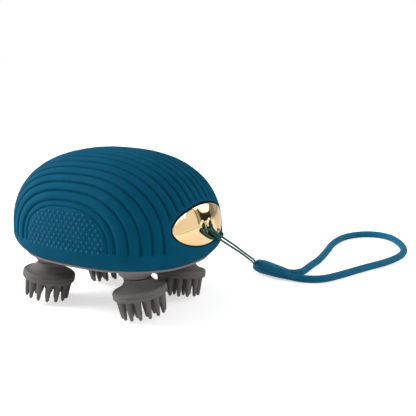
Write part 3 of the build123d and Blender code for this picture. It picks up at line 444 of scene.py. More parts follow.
@dataclass
class Surface:
    """Points in millimetres, and faces, of a piece in the making."""

    weld: float = 0.0005
    sharp_angle: float = 50.0
    points: list[Sequence[float]] = field(default_factory=list)
    faces: list[tuple[int, ...]] = field(default_factory=list)
    places: list[list[Pair]] = field(default_factory=list)

    def add_grid(self, rows: np.ndarray, closed: bool = False, along: Sequence[float] | None = None) -> None:
        """Adds a sheet of four-sided faces.

        Args:
            rows: points as rows, columns and three coordinates.
            closed: whether the last column meets the first.
            along: the length reached at each row, for tubes with a pattern.
        """
        first, (count, columns) = len(self.points), rows.shape[:2]
        self.points.extend(rows.reshape(-1, 3).tolist())
        for i in range(count - 1):
            near, far = first + i * columns, first + (i + 1) * columns
            for j in range(columns if closed else columns - 1):
                k = (j + 1) % columns
                self.faces.append((near + j, near + k, far + k, far + j))
                if along is not None:
                    corners = ((0, 0), (0, 1), (1, 1), (1, 0))
                    self.places.append([(along[i + row], (j + column) / columns) for row, column in corners])

    def add_cap(self, ring: np.ndarray, middle: Sequence[float]) -> None:
        """Closes a ring with a fan of faces.

        Args:
            ring: the ring's points.
            middle: the point in which the faces meet.
        """
        first, count = len(self.points), len(ring)
        self.points.extend([*ring.tolist(), list(middle)])
        self.faces += [(first + j, first + (j + 1) % count, first + count) for j in range(count)]

    def add_tube(self, rings: Sequence[np.ndarray], start: Point | None = None,
                 end: Point | None = None) -> None:
        """Adds rings joined to a tube, closed where a middle point is given.

        Args:
            rings: the rings' points.
            start: the middle of the first ring's cap.
            end: the middle of the last ring's cap.
        """
        self.add_grid(np.array(rings), closed=True)
        for ring, middle in ((rings[0], start), (rings[-1], end)):
            if middle is not None:
                self.add_cap(np.array(ring), middle)

    def moved(self, matrix: Matrix) -> "Surface":
        """Gives the same surface in another place.

        Args:
            matrix: the move, in millimetres.

        Returns:
            The moved surface.
        """
        array = np.array(matrix)
        points = np.asarray(self.points, float) @ array[:3, :3].T + array[:3, 3]
        return Surface(points=points.tolist(), faces=list(self.faces), places=list(self.places))

    def add(self, other: "Surface") -> None:
        """Takes in another surface.

        Args:
            other: the surface whose points and faces are added.
        """
        first = len(self.points)
        self.points.extend(other.points)
        self.faces += [tuple(first + i for i in face) for face in other.faces]

    def piece(self, name: str, finish: Finish, body: str, slot: str,
              shape: Callable[[Mesh], None] | None = None) -> Obj:
        """Makes the Blender object and lets it ride on its body.

        Args:
            name: the piece's name.
            finish: its finish.
            body: the moving body that it belongs to.
            slot: the record's material slot; not used.
            shape: further work on the mesh, still in millimetres.

        Returns:
            The object.
        """
        mesh = bpy.data.meshes.new(name)
        mesh.from_pydata([tuple(p) for p in self.points], [], self.faces)
        if self.places:
            layer = mesh.uv_layers.new(name="UVMap")
            layer.data.foreach_set("uv", [c for face in self.places for corner in face for c in corner])
        work = bmesh.new()
        work.from_mesh(mesh)
        bmesh.ops.remove_doubles(work, verts=work.verts, dist=self.weld)
        if shape:
            work.normal_update()
            shape(work)
        bmesh.ops.recalc_face_normals(work, faces=work.faces)
        bmesh.ops.scale(work, vec=(MM, MM, MM), verts=work.verts)
        work.to_mesh(mesh)
        work.free()
        mesh.shade_smooth()
        mesh.set_sharp_from_angle(angle=math.radians(self.sharp_angle))
        mesh.materials.append(finish.material())
        made = bpy.data.objects.new(name, mesh)
        bpy.context.scene.collection.objects.link(made)
        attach(made, body)
        log.info("%s: %d faces on %s", name, len(mesh.polygons), body)
        return made


def lathe(profile: Sequence[Pair], segments: int) -> np.ndarray:
    """Turns a profile round the upright axis.

    Args:
        profile: radius and height of each ring.
        segments: points in a ring.

    Returns:
        Rings as rows, columns and three coordinates.
    """
    turn = np.linspace(0, 2 * np.pi, segments, endpoint=False)
    return np.array([[(r * math.cos(a), r * math.sin(a), z) for a in turn] for r, z in profile])


def arc(centre: Pair, radius: float, start: float, end: float, steps: int) -> list[Pair]:
    """Gives points on an arc in a profile.

    Args:
        centre: the arc's centre.
        radius: its radius.
        start: first angle in degrees.
        end: last angle in degrees.
        steps: number of pieces.

    Returns:
        The points, both ends included.
    """
    angles = [math.radians(start + (end - start) * i / steps) for i in range(steps + 1)]
    return [(centre[0] + radius * math.cos(a), centre[1] + radius * math.sin(a)) for a in angles]


Signed = Callable[[Vector], float]


@dataclass
class Opening:
    """A hole through a surface, parallel to X, or the outside of a plate, with a rolled edge.

    The signed function is negative where the surface is cut away.
    """

    signed: Signed
    side: int
    roll: float
    depth: float
    halvings: int = 12
    roll_steps: int = 4
    slope_step: float = 0.01
    # stands for zero at a point that lies on the edge already
    nothing: float = 1e-9

    def cut(self, mesh: Mesh) -> None:
        """Cuts along the edge and rolls the edge down.

        Args:
            mesh: the mesh that is cut, with its normals up to date.
        """
        value = {v: self.signed(v.co) or self.nothing for v in mesh.verts}
        for edge in [e for e in mesh.edges if value[e.verts[0]] * value[e.verts[1]] < 0]:
            a, b = edge.verts
            low, high = 0.0, 1.0
            for _ in range(self.halvings):
                middle = (low + high) / 2
                same = self.signed(a.co.lerp(b.co, middle)) * value[a] > 0
                low, high = (middle, high) if same else (low, middle)
            value[bmesh.utils.edge_split(edge, a, low)[1]] = 0.0
        for face in list(mesh.faces):
            ends = [v for v in face.verts if value[v] == 0.0]
            if len(ends) == 2 and not any(e.other_vert(ends[0]) is ends[1]
                                          for e in ends[0].link_edges if e in face.edges):
                bmesh.utils.face_split(face, *ends)
        gone = [f for f in mesh.faces if min(value[v] for v in f.verts) < 0]
        bmesh.ops.delete(mesh, geom=gone, context="FACES")
        self.roll_down(mesh, [e for e in mesh.edges
                              if e.is_boundary and all(value.get(v, 1.0) == 0.0 for v in e.verts)])

    def slope(self, point: Vector) -> Vector:
        """Gives the direction across the edge, square to X, towards what was cut away.

        Args:
            point: a point on the edge.

        Returns:
            The unit direction.
        """
        across, up = Vector((0, self.slope_step, 0)), Vector((0, 0, self.slope_step))
        flat = Vector((0.0, *(self.signed(point + step) - self.signed(point - step) for step in (across, up))))
        return -flat.normalized()

    def roll_down(self, mesh: Mesh, rim: list[Edge]) -> None:
        """Adds a quarter round and a wall behind the cut edge.

        Args:
            mesh: the mesh that was cut.
            rim: its edges along the cut.
        """
        start = {}
        for vert in dict.fromkeys(v for e in rim for v in e.verts):
            skin = vert.normal if vert.normal.length else Vector((self.side, 0, 0))
            across = self.slope(vert.co)
            start[vert] = (vert.co.copy(), (across - skin * across.dot(skin)).normalized())
        angles = np.linspace(0, np.pi / 2, self.roll_steps + 1)[1:]
        steps = [(self.roll * math.sin(a), self.roll * (1 - math.cos(a))) for a in angles]
        for across_mm, down_mm in [*steps, (self.roll, self.depth)]:
            made = bmesh.ops.extrude_edge_only(mesh, edges=rim)["geom"]
            verts = [g for g in made if isinstance(g, Vert)]
            rim = [g for g in made if isinstance(g, Edge) and all(v in verts for v in g.verts)]
            start = {vert: next(start[e.other_vert(vert)] for e in vert.link_edges
                                if e.other_vert(vert) in start) for vert in verts}
            for vert, (point, across) in start.items():
                vert.co = point + across * across_mm - Vector((self.side * down_mm, 0, 0))


def oval(y: float, z: float, half_width: float, half_height: float, keep_inside: bool = False) -> Signed:
    """Describes an upright oval seen along X.

    Args:
        y: its middle across.
        z: its middle up.
        half_width: half its width.
        half_height: half its height.
        keep_inside: whether the outside is cut away, and not the inside.

    Returns:
        The signed function.
    """
    way = -1.0 if keep_inside else 1.0
    return lambda p: way * (math.hypot((p.y - y) / half_width, (p.z - z) / half_height) - 1.0) * half_height


def rear_slot(z: float, length: float, height: float) -> Signed:
    """Describes a level slot with round ends at the rear end of the case, seen along X.

    Args:
        z: its middle up.
        length: its length over all.
        height: its height.

    Returns:
        The signed function.
    """
    reach = (length - height) / 2
    return lambda p: 1.0 if p.x > 0 else math.hypot(max(abs(p.y) - reach, 0.0), p.z - z) - height / 2


# ---- the case ----
@dataclass(frozen=True)
class CaseForm:
    """The form of the case: a superelliptic dome over a tucked-in rim."""

    half_length: float = 55.0
    half_width: float = 42.5
    crown: float = 78.8
    belt: float = 36.8
    rim: float = 26.8
    tuck_x: float = 6.1
    tuck_y: float = 4.9
    plan: float = 2.45
    dome: float = 2.4
    tuck: float = 2.2
    # the least share that counts, so that the crown itself has a direction
    at_crown: float = 1e-6
    steps: int = 6000

    def half_axes(self, z: np.ndarray, inset: float = 0.0) -> tuple[np.ndarray, np.ndarray]:
        """Gives half the length and half the width at a height.

        Args:
            z: the height.
            inset: how far the form is drawn in.

        Returns:
            Both halves.
        """
        z = np.asarray(z, float)
        rise = np.clip((z - self.belt) / (self.crown - inset - self.belt), 0, 1)
        share = (1 - rise ** self.dome) ** (1 / self.dome)
        drop = np.clip((self.belt - z) / (self.belt - self.rim), 0, 2) ** self.tuck
        return ((self.half_length - inset) * share - self.tuck_x * drop,
                (self.half_width - inset) * share - self.tuck_y * drop)

    def end_x(self, y: np.ndarray, z: np.ndarray, inset: float = 0.0) -> np.ndarray:
        """Gives how far out the skin stands along X at a point of an end."""
        length, width = self.half_axes(z, inset)
        return length * np.maximum(1 - np.abs(y / width) ** self.plan, 0) ** (1 / self.plan)

    def side_y(self, x: np.ndarray, z: np.ndarray) -> np.ndarray:
        """Gives how far out the skin stands along Y at a point of a side."""
        length, width = self.half_axes(z)
        return width * np.maximum(1 - np.abs(x / length) ** self.plan, 0) ** (1 / self.plan)

    def share(self, x: np.ndarray, y: np.ndarray) -> np.ndarray:
        """Gives how far out a point of the plan lies, from 0 in its middle to 1 at its edge."""
        a, b = np.abs(x) / self.half_length, np.abs(y) / self.half_width
        return (a ** self.plan + b ** self.plan) ** (1 / self.plan)

    def dome_z(self, x: np.ndarray, y: np.ndarray) -> np.ndarray:
        """Gives the height of the dome over a point of the plan."""
        sunk = np.maximum(1 - self.share(x, y) ** self.dome, 0) ** (1 / self.dome)
        return self.belt + (self.crown - self.belt) * sunk

    def normals(self, points: np.ndarray) -> np.ndarray:
        """Gives the outward directions of the dome at its points.

        Args:
            points: points on the dome or its belt, coordinates last.

        Returns:
            Unit directions in the same shape.
        """
        x, y, z = (points[..., k] for k in range(3))
        a, b = np.abs(x) / self.half_length, np.abs(y) / self.half_width
        common = np.maximum(self.share(x, y), self.at_crown) ** (self.dome - self.plan)
        rise = np.clip((z - self.belt) / (self.crown - self.belt), 0, 1)
        out = np.stack([common * a ** (self.plan - 1) / self.half_length * np.sign(x),
                        common * b ** (self.plan - 1) / self.half_width * np.sign(y),
                        rise ** (self.dome - 1) / (self.crown - self.belt)], axis=-1)
        return out / np.linalg.norm(out, axis=-1, keepdims=True)

    def walk(self) -> tuple[np.ndarray, np.ndarray]:
        """Walks from the crown over the side in the middle plane.

        Returns:
            Distances from the middle plane, and the length walked at each.
        """
        y = self.half_width * (1 - (1 - np.linspace(0, 1, self.steps)) ** 3)
        return y, walked_along(np.stack([y, self.dome_z(np.zeros_like(y), y)], axis=1))


def smooth_step(value: np.ndarray, low: float, high: float) -> np.ndarray:
    """Rises softly from 0 at low to 1 at high."""
    share = np.clip((value - low) / (high - low), 0, 1)
    return share * share * (3 - 2 * share)


def dip(away: np.ndarray, spread: float) -> np.ndarray:
    """Falls softly from 1 to 0 with the distance."""
    return np.exp(-(away / spread) ** 2)


FORM = CaseForm()


@dataclass
class Sleeve:
    """Ribbed silicone sleeve over the upper housing, with a dotted grip patch on each long side."""

    wall: float = 2.0
    rib_pitch: float = 4.9
    ribs_per_side: int = 10
    groove_depth: float = 0.80
    groove_spread: float = 0.60
    rib_crown: float = 0.46
    crown_power: float = 1.9
    rim_line: float = 2.9
    rim_line_depth: float = 0.60
    rim_line_spread: float = 0.42
    # the ribs end between these heights
    foot: Pair = (35.3, 36.5)
    plate_z: float = 45.9
    plate_half_width: float = 22.3
    plate_half_height: float = 10.3
    margin: float = 1.3
    # shares of the oval round the plate between which the ribs end
    plate_fade: Pair = (0.985, 1.07)
    button_z: float = 54.5
    button_length: float = 18.6
    button_height: float = 11.6
    plug_z: float = 42.5
    plug_length: float = 15.6
    plug_height: float = 7.8
    plug_lip: float = 0.3
    # a plain panel holds the button and the plug; the ribs end over this width
    panel_half_width: float = 12.0
    panel_top: float = 62.6
    panel_fade: Pair = (-0.2, 1.0)
    lip: float = 0.5
    rim_round: float = 0.6
    columns: int = 161
    slice_steps: int = 1500
    # distances from a groove, and from the rim line, at which the mesh has its rows
    groove_rows: tuple[float, ...] = (0.0, 0.14, 0.28, 0.42, 0.58, 0.78, 1.05, 1.4, 1.85)
    line_rows: tuple[float, ...] = (-1.1, -0.8, -0.55, -0.35, -0.17, 0, 0.17, 0.35, 0.55, 0.8, 1.1)
    patch_rows: int = 34
    # heights of the rings from the dome's edge to the rolled rim, and angles in the roll
    belt_levels: tuple[float, ...] = (
        36.8, 36.5, 36.2, 35.9, 35.6, 35.2, 34.4, 33.2, 32.0, 30.8, 29.7, 28.7, 27.9, 27.4)
    rim_angles: Point = (0.5, 1.0, 1.57)
    dot_radius: float = 0.64
    dot_height: float = 0.46
    dot_pitch: float = 3.0
    dot_row: float = 2.1
    dot_rows: int = 12
    dot_margin: float = 1.3
    dot_foot: float = 36.1
    dot_angles: tuple[float, ...] = (1.57, 1.2, 0.8, 0.4)
    dot_segments: int = 12

    @property
    def last_groove(self) -> float:
        """Gives the place of the outermost groove, walked from the crown."""
        return (self.ribs_per_side - 0.5) * self.rib_pitch

    def rows(self) -> np.ndarray:
        """Gives the planes along the case on which the mesh has its rows, close together at the grooves.

        Returns:
            Their places across the case.
        """
        y, walked = FORM.walk()
        places = sorted({round((n + 0.5) * self.rib_pitch + way * s, 4) for n in range(self.ribs_per_side)
                         for way in (-1, 1) for s in (*self.groove_rows, self.rib_pitch / 2)})
        places = [p for p in places if 0 <= p <= self.last_groove + 1.05]
        places += [self.last_groove + self.rim_line + s for s in self.line_rows]
        near = np.interp(places, walked, y)
        patch_x = np.linspace(float(FORM.end_x(near[-1], FORM.belt)), 0, self.patch_rows)[1:]
        patch = FORM.half_width * (1 - (patch_x / FORM.half_length) ** FORM.plan) ** (1 / FORM.plan)
        half = np.concatenate([near, patch])
        return np.concatenate([-half[:0:-1], half])

    def slice(self, y: float) -> np.ndarray:
        """Gives the dome's section in one of those planes, in even steps.

        Args:
            y: the plane's place across the case.

        Returns:
            The section's points.
        """
        x = float(FORM.end_x(abs(y), FORM.belt)) * (1 - np.linspace(0, 1, self.slice_steps) ** 3)
        z = FORM.dome_z(x, np.full_like(x, y))
        x, z = np.concatenate([x, -x[-2::-1]]), np.concatenate([z, z[-2::-1]])
        z[[0, -1]] = FORM.belt
        walked = walked_along(np.stack([x, z], axis=1))
        at = np.linspace(0, walked[-1], self.columns)
        return np.stack([np.interp(at, walked, x), np.full(self.columns, y), np.interp(at, walked, z)], axis=1)

    def sink(self, points: np.ndarray, plane: np.ndarray) -> np.ndarray:
        """Gives how deep the skin lies under the plain form.

        Args:
            points: points on the form, coordinates last.
            plane: the plane that each point's row lies in.

        Returns:
            The depths.
        """
        y, walked = FORM.walk()
        place, last = np.interp(np.abs(plane), y, walked), self.last_groove
        nearest = np.clip(np.round(place / self.rib_pitch - 0.5), 0, self.ribs_per_side - 1)
        away = np.abs(place - (nearest + 0.5) * self.rib_pitch)
        shoulder = np.clip(1 - away / (self.rib_pitch / 2), 0, 1) ** self.crown_power
        depth = self.rib_crown * np.where(place > last, 1.0, shoulder)
        depth += self.groove_depth * dip(away, self.groove_spread)
        depth += self.rim_line_depth * dip(place - last - self.rim_line, self.rim_line_spread)
        return self.fade(depth, points)

    def fade(self, depth: np.ndarray, points: np.ndarray) -> np.ndarray:
        """Lets the ribs end at their feet, round the plate and at the rear panel.

        Args:
            depth: how deep the skin would lie with ribs everywhere.
            points: points on the form, coordinates last.

        Returns:
            The depths that are left.
        """
        x, y, z = (points[..., k] for k in range(3))
        depth = depth * smooth_step(z, *self.foot)
        ring = np.hypot(y / (self.plate_half_width + self.margin),
                        (z - self.plate_z) / (self.plate_half_height + self.margin))
        # no rib comes back below the plate
        ring = np.where(z < self.plate_z, np.minimum(ring, np.abs(y) / self.plate_half_width), ring)
        depth = depth * np.where(x > 0, smooth_step(ring, *self.plate_fade), 1.0)
        panel = np.hypot(y, np.maximum(z - (self.panel_top - self.panel_half_width), 0))
        low, high = (self.panel_half_width + step for step in self.panel_fade)
        return depth * np.where(x < 0, smooth_step(panel, low, high), 1.0)

    def band(self, belt: np.ndarray, planes: np.ndarray) -> np.ndarray:
        """Makes the rings below the dome: the feet of the ribs, the plain belt and the rolled rim.

        Args:
            belt: the ring in which the dome ends.
            planes: the plane that each of its points lies in.

        Returns:
            Rings as rows, columns and three coordinates.
        """
        turn_x, turn_y = belt[:, 0] / FORM.half_length, belt[:, 1] / FORM.half_width
        outward, r, rings = FORM.normals(belt), self.rim_round, []
        levels = [(z, 0.0) for z in self.belt_levels]
        levels += [(FORM.rim + r - r * math.sin(a), r - r * math.cos(a)) for a in self.rim_angles]
        levels += [(FORM.rim, self.wall - 0.3), (FORM.rim + 0.3, self.wall), (FORM.rim + 4.0, self.wall)]
        for z, inset in levels:
            length, width = FORM.half_axes(z)
            across, up = turn_y * (width - inset), np.full_like(turn_y, z)
            ring = np.stack([turn_x * (length - inset), across, up], axis=1)
            if z > self.foot[0]:
                ring -= outward * self.sink(ring, planes)[:, None]
            rings.append(ring)
        return np.stack(rings)

    def cut_openings(self, mesh: Mesh) -> None:
        """Cuts the openings for the plate, the button and the plug.

        Args:
            mesh: the sleeve's mesh.
        """
        plate = oval(0, self.plate_z, self.plate_half_width + self.lip, self.plate_half_height + self.lip)
        Opening(lambda p: plate(p) if p.x > 0 else 1.0, 1, self.lip, self.wall).cut(mesh)
        for z, length, height, lip in ((self.button_z, self.button_length, self.button_height, self.lip),
                                       (self.plug_z, self.plug_length, self.plug_height, self.plug_lip)):
            Opening(rear_slot(z, length + 2 * lip, height + 2 * lip), -1, lip, self.wall).cut(mesh)

    def build(self) -> None:
        """Makes the sleeve."""
        rows = self.rows()
        dome = np.stack([self.slice(y) for y in rows])
        depth = self.sink(dome, np.repeat(rows[:, None], self.columns, axis=1))
        surface = Surface()
        surface.add_grid(dome - FORM.normals(dome) * depth[..., None])
        surface.add_grid(self.band(np.concatenate([dome[:, 0], dome[-2:0:-1, -1]]),
                                   np.concatenate([rows, rows[-2:0:-1]])), closed=True)
        piece = surface.piece("ribbed_sleeve", BLUE_SILICONE, "case", "blue_silicone", self.cut_openings)
        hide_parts("silicone_sleeve")

    def dot_places(self) -> list[Pair]:
        """Gives the staggered grid of grip dots in one patch.

        Returns:
            The place along the case and the height of each dot.
        """
        y, walked = FORM.walk()
        edge = self.last_groove + self.rim_line + self.dot_margin
        grid = [((column + 0.5 * (row % 2)) * self.dot_pitch, self.dot_foot + row * self.dot_row)
                for row in range(self.dot_rows) for column in range(-12, 13)]
        return [(x, z) for x, z in grid if np.interp(float(FORM.side_y(x, z)), y, walked) > edge]

    def grip_dots(self, side: int) -> None:
        """Makes the raised dots of one grip patch.

        Args:
            side: the side of the case, 1 or -1.
        """
        radius, height = self.dot_radius, self.dot_height
        foot, round_it = (radius * 1.25, -0.12), self.dot_angles
        profile = [foot, *((radius * math.sin(a), height * math.cos(a)) for a in round_it)]
        cap, dots = Surface(), Surface()
        cap.add_tube(lathe(profile, self.dot_segments), end=(0, 0, height))
        for x, z in self.dot_places():
            point = np.array([x, side * float(FORM.side_y(x, z)), z])
            out = FORM.normals(point)
            turn = Vector(out).to_track_quat("Z", "Y").to_matrix().to_4x4()
            depth = float(self.sink(point, np.array(side * FORM.half_width)))
            dots.add(cap.moved(Matrix.Translation(point - out * depth) @ turn))
        dots.piece("grip_dots_" + ("far" if side > 0 else "near"), DOT_SILICONE, "case", "blue_silicone")


@dataclass
class LanyardPlate:
    """Polished oval plate with two lipped eyes for the string and a bore for the lamp."""

    z: float = 45.9
    half_width: float = 21.6
    half_height: float = 9.6
    recess: float = 0.1
    edge: float = 0.4
    thickness: float = 1.5
    eye_spacing: float = 5.8
    eye_z: float = 45.7
    eye_width: float = 2.7
    eye_height: float = 3.3
    eye_roll: float = 0.15
    # the raised lip round an eye: its height, its place outside the eye and its width
    lip_height: float = 0.42
    lip_away: float = 0.22
    lip_spread: float = 0.36
    lamp_y: float = 11.1
    lamp_z: float = 41.0
    lamp_radius: float = 0.85
    # first, last and step of the mesh's columns and rows: all over, at the eyes and at the lamp
    across: tuple[Point, ...] = ((-22, 22.01, 0.5), (-5.5, 5.51, 0.14), (10, 12.21, 0.2))
    up: tuple[Point, ...] = ((-10, 10.01, 0.5), (-2.94, 2.67, 0.14), (-6.1, -3.7, 0.2))

    def grid(self) -> np.ndarray:
        """Gives the plate's skin, in a grid that is close at the eyes and the lamp.

        Returns:
            Points as rows, columns and three coordinates.
        """
        y, z = np.meshgrid(*(np.unique(np.round(middle + np.concatenate([np.arange(*s) for s in steps]), 3))
                             for middle, steps in ((0.0, self.across), (self.z, self.up))))
        x = FORM.end_x(y, z, self.recess)
        for side in (-1, 1):
            away = (np.hypot((y - side * self.eye_spacing / 2) / (self.eye_width / 2),
                             (z - self.eye_z) / (self.eye_height / 2)) - 1) * self.eye_width / 2
            x = x + self.lip_height * dip(away - self.lip_away, self.lip_spread)
        return np.stack([x, y, z], axis=-1)

    def cut_openings(self, mesh: Mesh) -> None:
        """Cuts the outline, the eyes and the lamp's bore.

        Args:
            mesh: the plate's mesh.
        """
        Opening(oval(0, self.z, self.half_width - self.edge, self.half_height - self.edge, keep_inside=True),
                1, self.edge, self.thickness).cut(mesh)
        r = self.eye_roll
        for side in (-1, 1):
            eye = oval(side * self.eye_spacing / 2, self.eye_z, self.eye_width / 2 + r, self.eye_height / 2 + r)
            Opening(eye, 1, r, self.thickness + 0.4).cut(mesh)
        Opening(oval(self.lamp_y, self.lamp_z, self.lamp_radius, self.lamp_radius), 1, 0.05, 1.0).cut(mesh)

    def build(self) -> None:
        """Makes the plate."""
        surface = Surface()
        surface.add_grid(self.grid())
        piece = surface.piece("gold_lanyard_plate", GOLD_PLATING, "case", "gold_plate", self.cut_openings)
        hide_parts("lanyard_plate")


@dataclass
class Controls:
    """Power button and port plug at the rear end, moulded in the sleeve's rubber."""

    button_z: float = 54.5
    button_length: float = 18.0
    button_height: float = 11.0
    button_proud: float = 0.5
    button_round: float = 0.7
    button_wall: float = 4.4
    dish: float = 0.6
    # shares of the way in between which the dish sinks
    dish_span: Pair = (0.05, 0.85)
    flange: float = 1.2
    flange_inset: float = 4.15
    stem_radius: float = 2.2
    stem_tip: float = -39.49
    plug_z: float = 42.5
    plug_length: float = 15.0
    plug_height: float = 7.2
    plug_round: float = 0.3
    plug_wall: float = 1.9
    nail_y: float = 5.0
    nail_depth: float = 0.8
    nail_half: Pair = (1.3, 2.4)
    tongue_length: float = 7.6
    tongue_height: float = 2.0
    tongue_tip: float = -45.61
    count: int = 72
    roll_rings: int = 6
    # shares of the way out of a cap's outermost and innermost rings
    top_shares: Pair = (0.94, 0.06)
    top_rings: int = 18
    # share of its outline to which a block narrows at its ends, and how long both ends are
    block_ends: Point = (0.92, 0.15, 0.25)
    # shares and depths of the rings that make the flange
    flange_rings: tuple[Pair, ...] = ((0.8, 0.0), (0.97, 0.0), (1.0, 0.2), (1.0, 0.9), (0.97, 1.1), (0.3, 1.1))

    def outline(self, length: float, height: float) -> np.ndarray:
        """Gives the points of a slot with round ends.

        Args:
            length: its length over all.
            height: its height.

        Returns:
            Points across and up, from its middle.
        """
        turn = np.linspace(0, 2 * np.pi, self.count, endpoint=False)
        across = height / 2 * np.cos(turn) + np.sign(np.cos(turn)) * (length - height) / 2
        return np.stack([across, height / 2 * np.sin(turn)], axis=1)

    def on_skin(self, flat: np.ndarray, z: float, rise: np.ndarray | float) -> np.ndarray:
        """Lays flat points on the rear skin round the height z, raised by rise."""
        up = flat[:, 1] + z
        return np.stack([-FORM.end_x(flat[:, 0], up) - rise, flat[:, 0], up], axis=1)

    def cap(self, z: float, size: Pair, roll: float, depth: float,
            rise: Callable[[np.ndarray, float], np.ndarray | float]) -> Surface:
        """Makes a cap that follows the skin, with a rolled edge and a wall.

        Args:
            z: the height of its middle.
            size: its length and height.
            roll: the radius of its edge.
            depth: how deep its wall goes.
            rise: how high it stands, from its flat points and their share of the way out.

        Returns:
            The cap.
        """
        length, height = size
        edge = rise(self.outline(length, height), 1.0)
        rings = [self.on_skin(self.outline(length, height), z, edge - depth)]
        for angle in np.linspace(0, np.pi / 2, self.roll_rings):
            drawn_in = 2 * roll * (1 - math.cos(angle))
            rings.append(self.on_skin(self.outline(length - drawn_in, height - drawn_in), z,
                                      edge - roll * (1 - math.sin(angle))))
        inner = self.outline(length - 2 * roll, height - 2 * roll)
        rings += [self.on_skin(inner * share, z, rise(inner * share, float(share)))
                  for share in np.linspace(*self.top_shares, self.top_rings)]
        surface, middle = Surface(), np.zeros((1, 2))
        surface.add_tube(rings, end=self.on_skin(middle, z, rise(middle, 0.0))[0])
        return surface

    def prism(self, z: float, flat: np.ndarray, near: float, far: float) -> Surface:
        """Makes a block of one outline along X, with softened ends.

        Args:
            z: the height of its middle.
            flat: its outline.
            near: where it starts.
            far: where it ends.

        Returns:
            The closed form.
        """
        surface, (soft, first, last) = Surface(), self.block_ends
        surface.add_tube([np.column_stack([np.full(len(flat), x), flat[:, 0] * share, flat[:, 1] * share + z])
                          for x, share in ((near, soft), (near + first, 1.0), (far - last, 1.0), (far, soft))],
                         (near, 0, z), (far, 0, z))
        return surface

    def dished(self, flat: np.ndarray, share: float) -> float:
        """Sinks the button's middle softly below its edge, so that a finger finds it."""
        return self.button_proud - self.dish * float(smooth_step(np.array(1 - share), *self.dish_span))

    def dented(self, flat: np.ndarray, share: float) -> np.ndarray:
        """Dents the plug near one end, so that a nail can lift it."""
        away = np.hypot((flat[:, 0] - self.nail_y) / self.nail_half[0], flat[:, 1] / self.nail_half[1])
        return -self.nail_depth * np.exp(-away ** 4)

    def button(self) -> None:
        """Makes the button: a dished cap, its retaining flange and the stem to the switch."""
        z, inset = self.button_z, self.flange_inset
        size = (self.button_length, self.button_height)
        whole = self.cap(z, size, self.button_round, self.button_wall, self.dished)
        root = -float(FORM.end_x(0, z, inset))
        flat = self.outline(self.button_length + 2 * self.flange, self.button_height + 2 * self.flange)
        flange = Surface()
        flange.add_tube([self.on_skin(flat * share, z, -inset - deep) for share, deep in self.flange_rings],
                        (root, 0, z))
        whole.add(flange)
        stem = self.outline(2 * self.stem_radius, 2 * self.stem_radius)
        whole.add(self.prism(z, stem, root + 0.4, self.stem_tip))
        piece = whole.piece("dished_power_button", BLUE_SILICONE, "button", "blue_silicone")
        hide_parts("power_button")

    def plug(self) -> None:
        """Makes the port's plug: a flush cap with a nail notch, and its tongue."""
        z, length, height = self.plug_z, self.plug_length, self.plug_height
        whole = self.cap(z, (length, height), self.plug_round, self.plug_wall, self.dented)
        root = -float(FORM.end_x(0, z, self.plug_wall))
        whole.add(self.prism(z, self.outline(length - 1, height - 1), root - 0.4, root))
        tongue = self.outline(self.tongue_length, self.tongue_height)
        whole.add(self.prism(z, tongue, root - 0.2, self.tongue_tip))
        piece = whole.piece("notched_socket_plug", BLUE_SILICONE, "plug", "blue_silicone")
        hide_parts("socket_plug")


